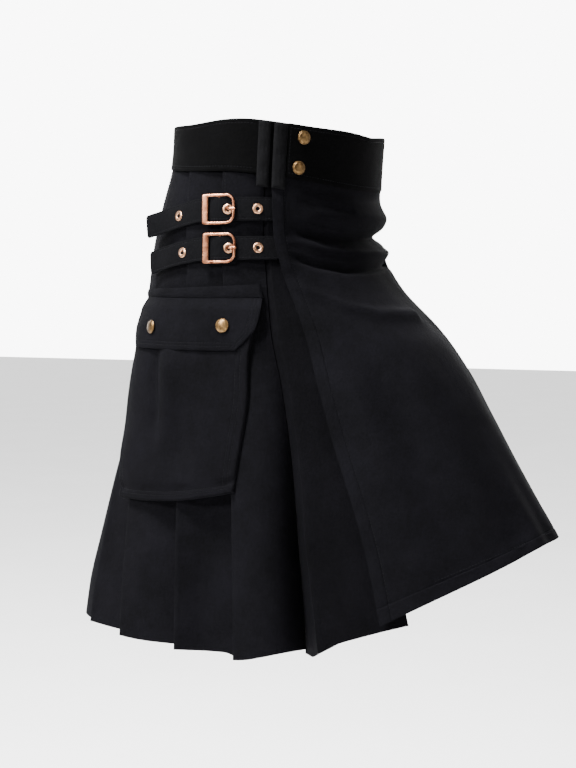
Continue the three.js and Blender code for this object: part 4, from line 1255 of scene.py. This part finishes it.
def flap_band(thick):
    shares = np.linspace(0, 1, 70)
    levels = np.linspace(0.3225, FLAP_TOP - 0.0006, 18)
    rows = []
    uv = []
    for i, t in enumerate(levels):
        k = i / (len(levels) - 1)
        level = t + mix(0.008, -0.004, shares) * (1 - k)
        crown = 0.45 + 0.55 * math.sin(math.pi * (0.12 + 0.78 * k)) ** 0.6
        ends = quarter_round(np.minimum(shares, 1 - shares) * FLAP_WIDE / 2.5)
        rise = np.full(len(shares), 1.15)
        if thick:
            rise = 1.55 + (3.2 * crown - 0.4) * (0.3 + 0.7 * ends) + 0.15 * np.sin(shares * 31 + 2 * k)
        rows.append(off(mix(135, 66, shares), level, rise))
        uv.append(np.stack([shares * FLAP_WIDE, np.full(len(shares), k * 12.0)], -1))
    return np.array(rows), np.array(uv)


outer, uv = flap_band(True)
inner, _ = flap_band(False)
cloth("pocket_flap_band", (outer, inner, uv), BODY_CLOTH, (0.17, 0.014), None, "laid", ["pleats_right"], 70)
cap("flap_back", 116.6, 0.405, 13.45)
cap("flap_front", 82.9, 0.399, 9.95)


# stitches: short threads that lie along sewn lines
def stitches(name, runs, pitch=3.6, length=2.5, radius=0.28):
    verts = []
    faces = []
    for points, normals in runs:
        points = np.asarray(points, float)
        normals = np.asarray(normals, float)
        steps = np.linalg.norm(np.diff(points, axis=0), axis=1)
        far = np.concatenate([[0.0], np.cumsum(steps)])
        count = int(far[-1] / pitch)
        for k in range(count):
            at = (k + 0.5) * pitch
            ends = []
            for d in (-length / 2, -length / 5, length / 5, length / 2):
                x = np.clip(at + d, 0, far[-1])
                p = np.array([np.interp(x, far, points[:, m]) for m in range(3)])
                n = unit(np.array([np.interp(x, far, normals[:, m]) for m in range(3)]))
                ends.append((p, n, abs(d)))
            along = unit(ends[3][0] - ends[0][0])
            base = len(verts)
            for p, n, d in ends:
                wide = np.cross(n, along)
                thick = radius if d < length / 3 else radius * 0.45
                sink = 0.0 if d < length / 3 else -0.22
                for a in (0.0, 1.05, 2.09, 3.14, 4.19, 5.24):
                    verts.append(p + n * (sink + thick * math.sin(a)) + wide * thick * 1.25 * math.cos(a))
            faces += [tuple(base + m for m in face) for face in tube_faces(4, 6)]
    finish_piece(name, verts, faces, THREAD, ())


def run_on(angles, levels, rises, drop=0.0):
    angles, levels, rises = np.broadcast_arrays(angles, levels, rises)
    points = off(angles, levels, rises)
    points[:, 2] -= drop
    return points, outward(angles, levels)


# sewn lines of the band
band_runs = []
for level in BAND_ROWS:
    back = np.linspace(360 + BAND_SEAM, 68, 150)
    band_runs.append(run_on(back, level, 0.35 + BAND_WALL / 2, top_dip(back, level)))
    front = np.linspace(50.4, BAND_SEAM + 1, 110)
    rise = mix(2.15, 0.35, ease((20 - front) / 90)) + BAND_WALL / 2
    band_runs.append(run_on(front, level, rise, top_dip(front, level)))
band_runs.append(run_on(50.2, np.linspace(0.012, 0.09, 20), 2.15 + BAND_WALL / 2))
stitches("stitches_band", band_runs)

# sewn lines of the apron: beside its free edge and along its hem
levels = np.linspace(0.105, 0.985, 150)
edge_angle = column(LINES, EDGE, levels)
line_angle = edge_angle - APRON_STRIP / rate(edge_angle, levels)
line_rise = apron_rise(levels) + creased(line_angle, levels)
beside = ease((9 - APRON_STRIP / rate(edge_angle, levels)) / 6)
line_rise = line_rise + (STRAP_COVER - apron_rise(levels)) * beside * strap_rows(levels)
apron_runs = [run_on(line_angle, levels, line_rise + WALL / 2 - 0.1)]
hem_edge = float(column(LINES, EDGE, HEM_TURN))
hem_angles = np.linspace(hem_edge - 6, -64, 150)
hem_swell = waves(hem_angles, HEM_TURN, SWELLS) * ease((hem_edge - hem_angles) / 8)
hem_rise = apron_rise(1.0) + hem_swell * ease((hem_angles + 65.6) / 8) + WALL / 2 - 0.1
apron_runs.append(run_on(hem_angles, HEM_TURN, hem_rise))
stitches("stitches_apron", apron_runs)

# sewn lines of the pleats: beside each pressed fold over the hip
pleat_runs = []
for fold in FOLDS:
    levels = np.linspace(0.104, 0.3, 40)
    angle = fold_angle(fold, levels)
    points, normals = run_on(angle - 2.2 / rate(angle, levels), levels, WALL / 2 - 0.05)
    pleat_runs += [(points, normals), (mirror(points), mirror(normals))]
stitches("stitches_pleats", pleat_runs)

# sewn lines of the pocket and its flap
pocket_runs = []
for line in POCKET_ROWS:
    v = np.linspace(0.12, 1 - line / 207, 70)
    level = mix(POCKET_TOP, POCKET_LOW, v)
    back = column(POCKET, 1, level)
    front = column(POCKET, 2, level)
    for share in (line / POCKET_WIDE, 1 - line / POCKET_WIDE):
        at = level - raised(share, v)
        pocket_runs.append(run_on(mix(back, front, share), at, pocket_face(share, v)))
    low = 1 - line / POCKET_TALL
    level = mix(POCKET_TOP, POCKET_LOW, low)
    share = np.linspace(line / POCKET_WIDE, 1 - line / POCKET_WIDE, 60)
    back = float(column(POCKET, 1, level))
    front = float(column(POCKET, 2, level))
    pocket_runs.append(run_on(mix(back, front, share), level - raised(share, low), pocket_face(share, low)))
for line in FLAP_ROWS:
    share = np.linspace(line / FLAP_WIDE, 1 - line / FLAP_WIDE, 60)
    level = FLAP_LOW - line / CLOTH_DROP
    back, front = flap_edges(level)
    angles = mix(back, front, share)
    pocket_runs.append(run_on(angles, level, flap_rise(level) + flap_swell(share, angles, level) + 0.75))
    for side in (line / FLAP_WIDE, 1 - line / FLAP_WIDE):
        levels = np.linspace(0.36, level, 24)
        edges = np.array([flap_edges(x) for x in levels])
        angles = mix(edges[:, 0], edges[:, 1], side)
        rises = flap_rise(levels) + flap_swell(side, angles, levels) + 0.75
        pocket_runs.append(run_on(angles, levels, rises))
stitches("stitches_pocket", pocket_runs)

# sewn lines of the straps
strap_runs = []
for key in ("upper", "lower"):
    for share in (-STRAP_ROW, STRAP_ROW):
        points = []
        normals = []
        last = STRAPS[key][-1][1]
        for angle in np.linspace(STRAPS[key][0][1] + 4, last - 1.4, 90):
            place, forward, up, out = strap_frame(key, angle)
            height, t, rise = strap_at(key, angle)
            y = share * STRAP_WIDTH / 2
            seat = off(angle, float(level_at(angle, height + y)), rise)
            shift = float(np.dot(seat - off(angle, t, rise), out))
            points.append(place + up * y + out * (shift + STRAP_WALL / 2 - 0.15))
            normals.append(out)
        strap_runs.append((points, normals))
stitches("stitches_straps", strap_runs)


# floor, backdrop and light
def plain(name, colour, rough):
    material, tree, shader = nodes_of(name)
    place = node(tree, "ShaderNodeTexCoord")
    brighter = colour * 1.02
    stops = [(0.4, (colour, colour, colour, 1)), (0.6, (brighter, brighter, brighter, 1))]
    tinted(tree, noise(tree, place, 3.0, 2.0), stops, shader)
    shader.inputs["Roughness"].default_value = rough
    return material


floor_mesh = bpy.data.meshes.new("floor")
size = 14.0
floor_height = -1.05
corners = [(x * size, y * size, floor_height) for x, y in ((-1, -1), (1, -1), (1, 1), (-1, 1))]
floor_mesh.from_pydata(corners, [], [(0, 1, 2, 3)])
floor_mesh.materials.append(plain("floor_pale", 0.86, 0.9))
floor = bpy.data.objects.new("floor", floor_mesh)
bpy.context.collection.objects.link(floor)

world = bpy.data.worlds.new("world")
bpy.context.scene.world = world
world.use_nodes = True
sky = world.node_tree
sky_light = sky.nodes["Background"]
sky_place = node(sky, "ShaderNodeTexCoord")
sky_side = node(sky, "ShaderNodeVectorMath", operation="DOT_PRODUCT")
sky_side.inputs[1].default_value = tuple(-TOWARDS)
link(sky, sky_place, "Generated", sky_side, 0)
greys = ((0.0, 0.06), (0.5, 0.08), (0.86, 1), (1.0, 1))
glow = ramp(sky, [(position, (grey, grey, grey, 1)) for position, grey in greys])
link(sky, sky_side, "Value", glow, "Fac")
link(sky, glow, "Color", sky_light, "Color")
sky_light.inputs["Strength"].default_value = 9.0


def area_light(name, across, towards, up, power, size, aim=(0, 0, -0.3)):
    data = bpy.data.lights.new(name, "AREA")
    data.shape = "DISK"
    data.size = size
    data.energy = power
    lamp = bpy.data.objects.new(name, data)
    bpy.context.collection.objects.link(lamp)
    place = Vector(ACROSS * across + TOWARDS * towards + np.array([0, 0, up]))
    lamp.location = place
    lamp.rotation_euler = (Vector(aim) - place).to_track_quat("-Z", "Y").to_euler()


area_light("key", -1.9, 1.6, 1.1, 200, 0.5)
area_light("fill", 2.4, 1.5, 1.0, 24, 1.2)
area_light("top", -1.0, 0.8, 2.5, 640, 0.7)
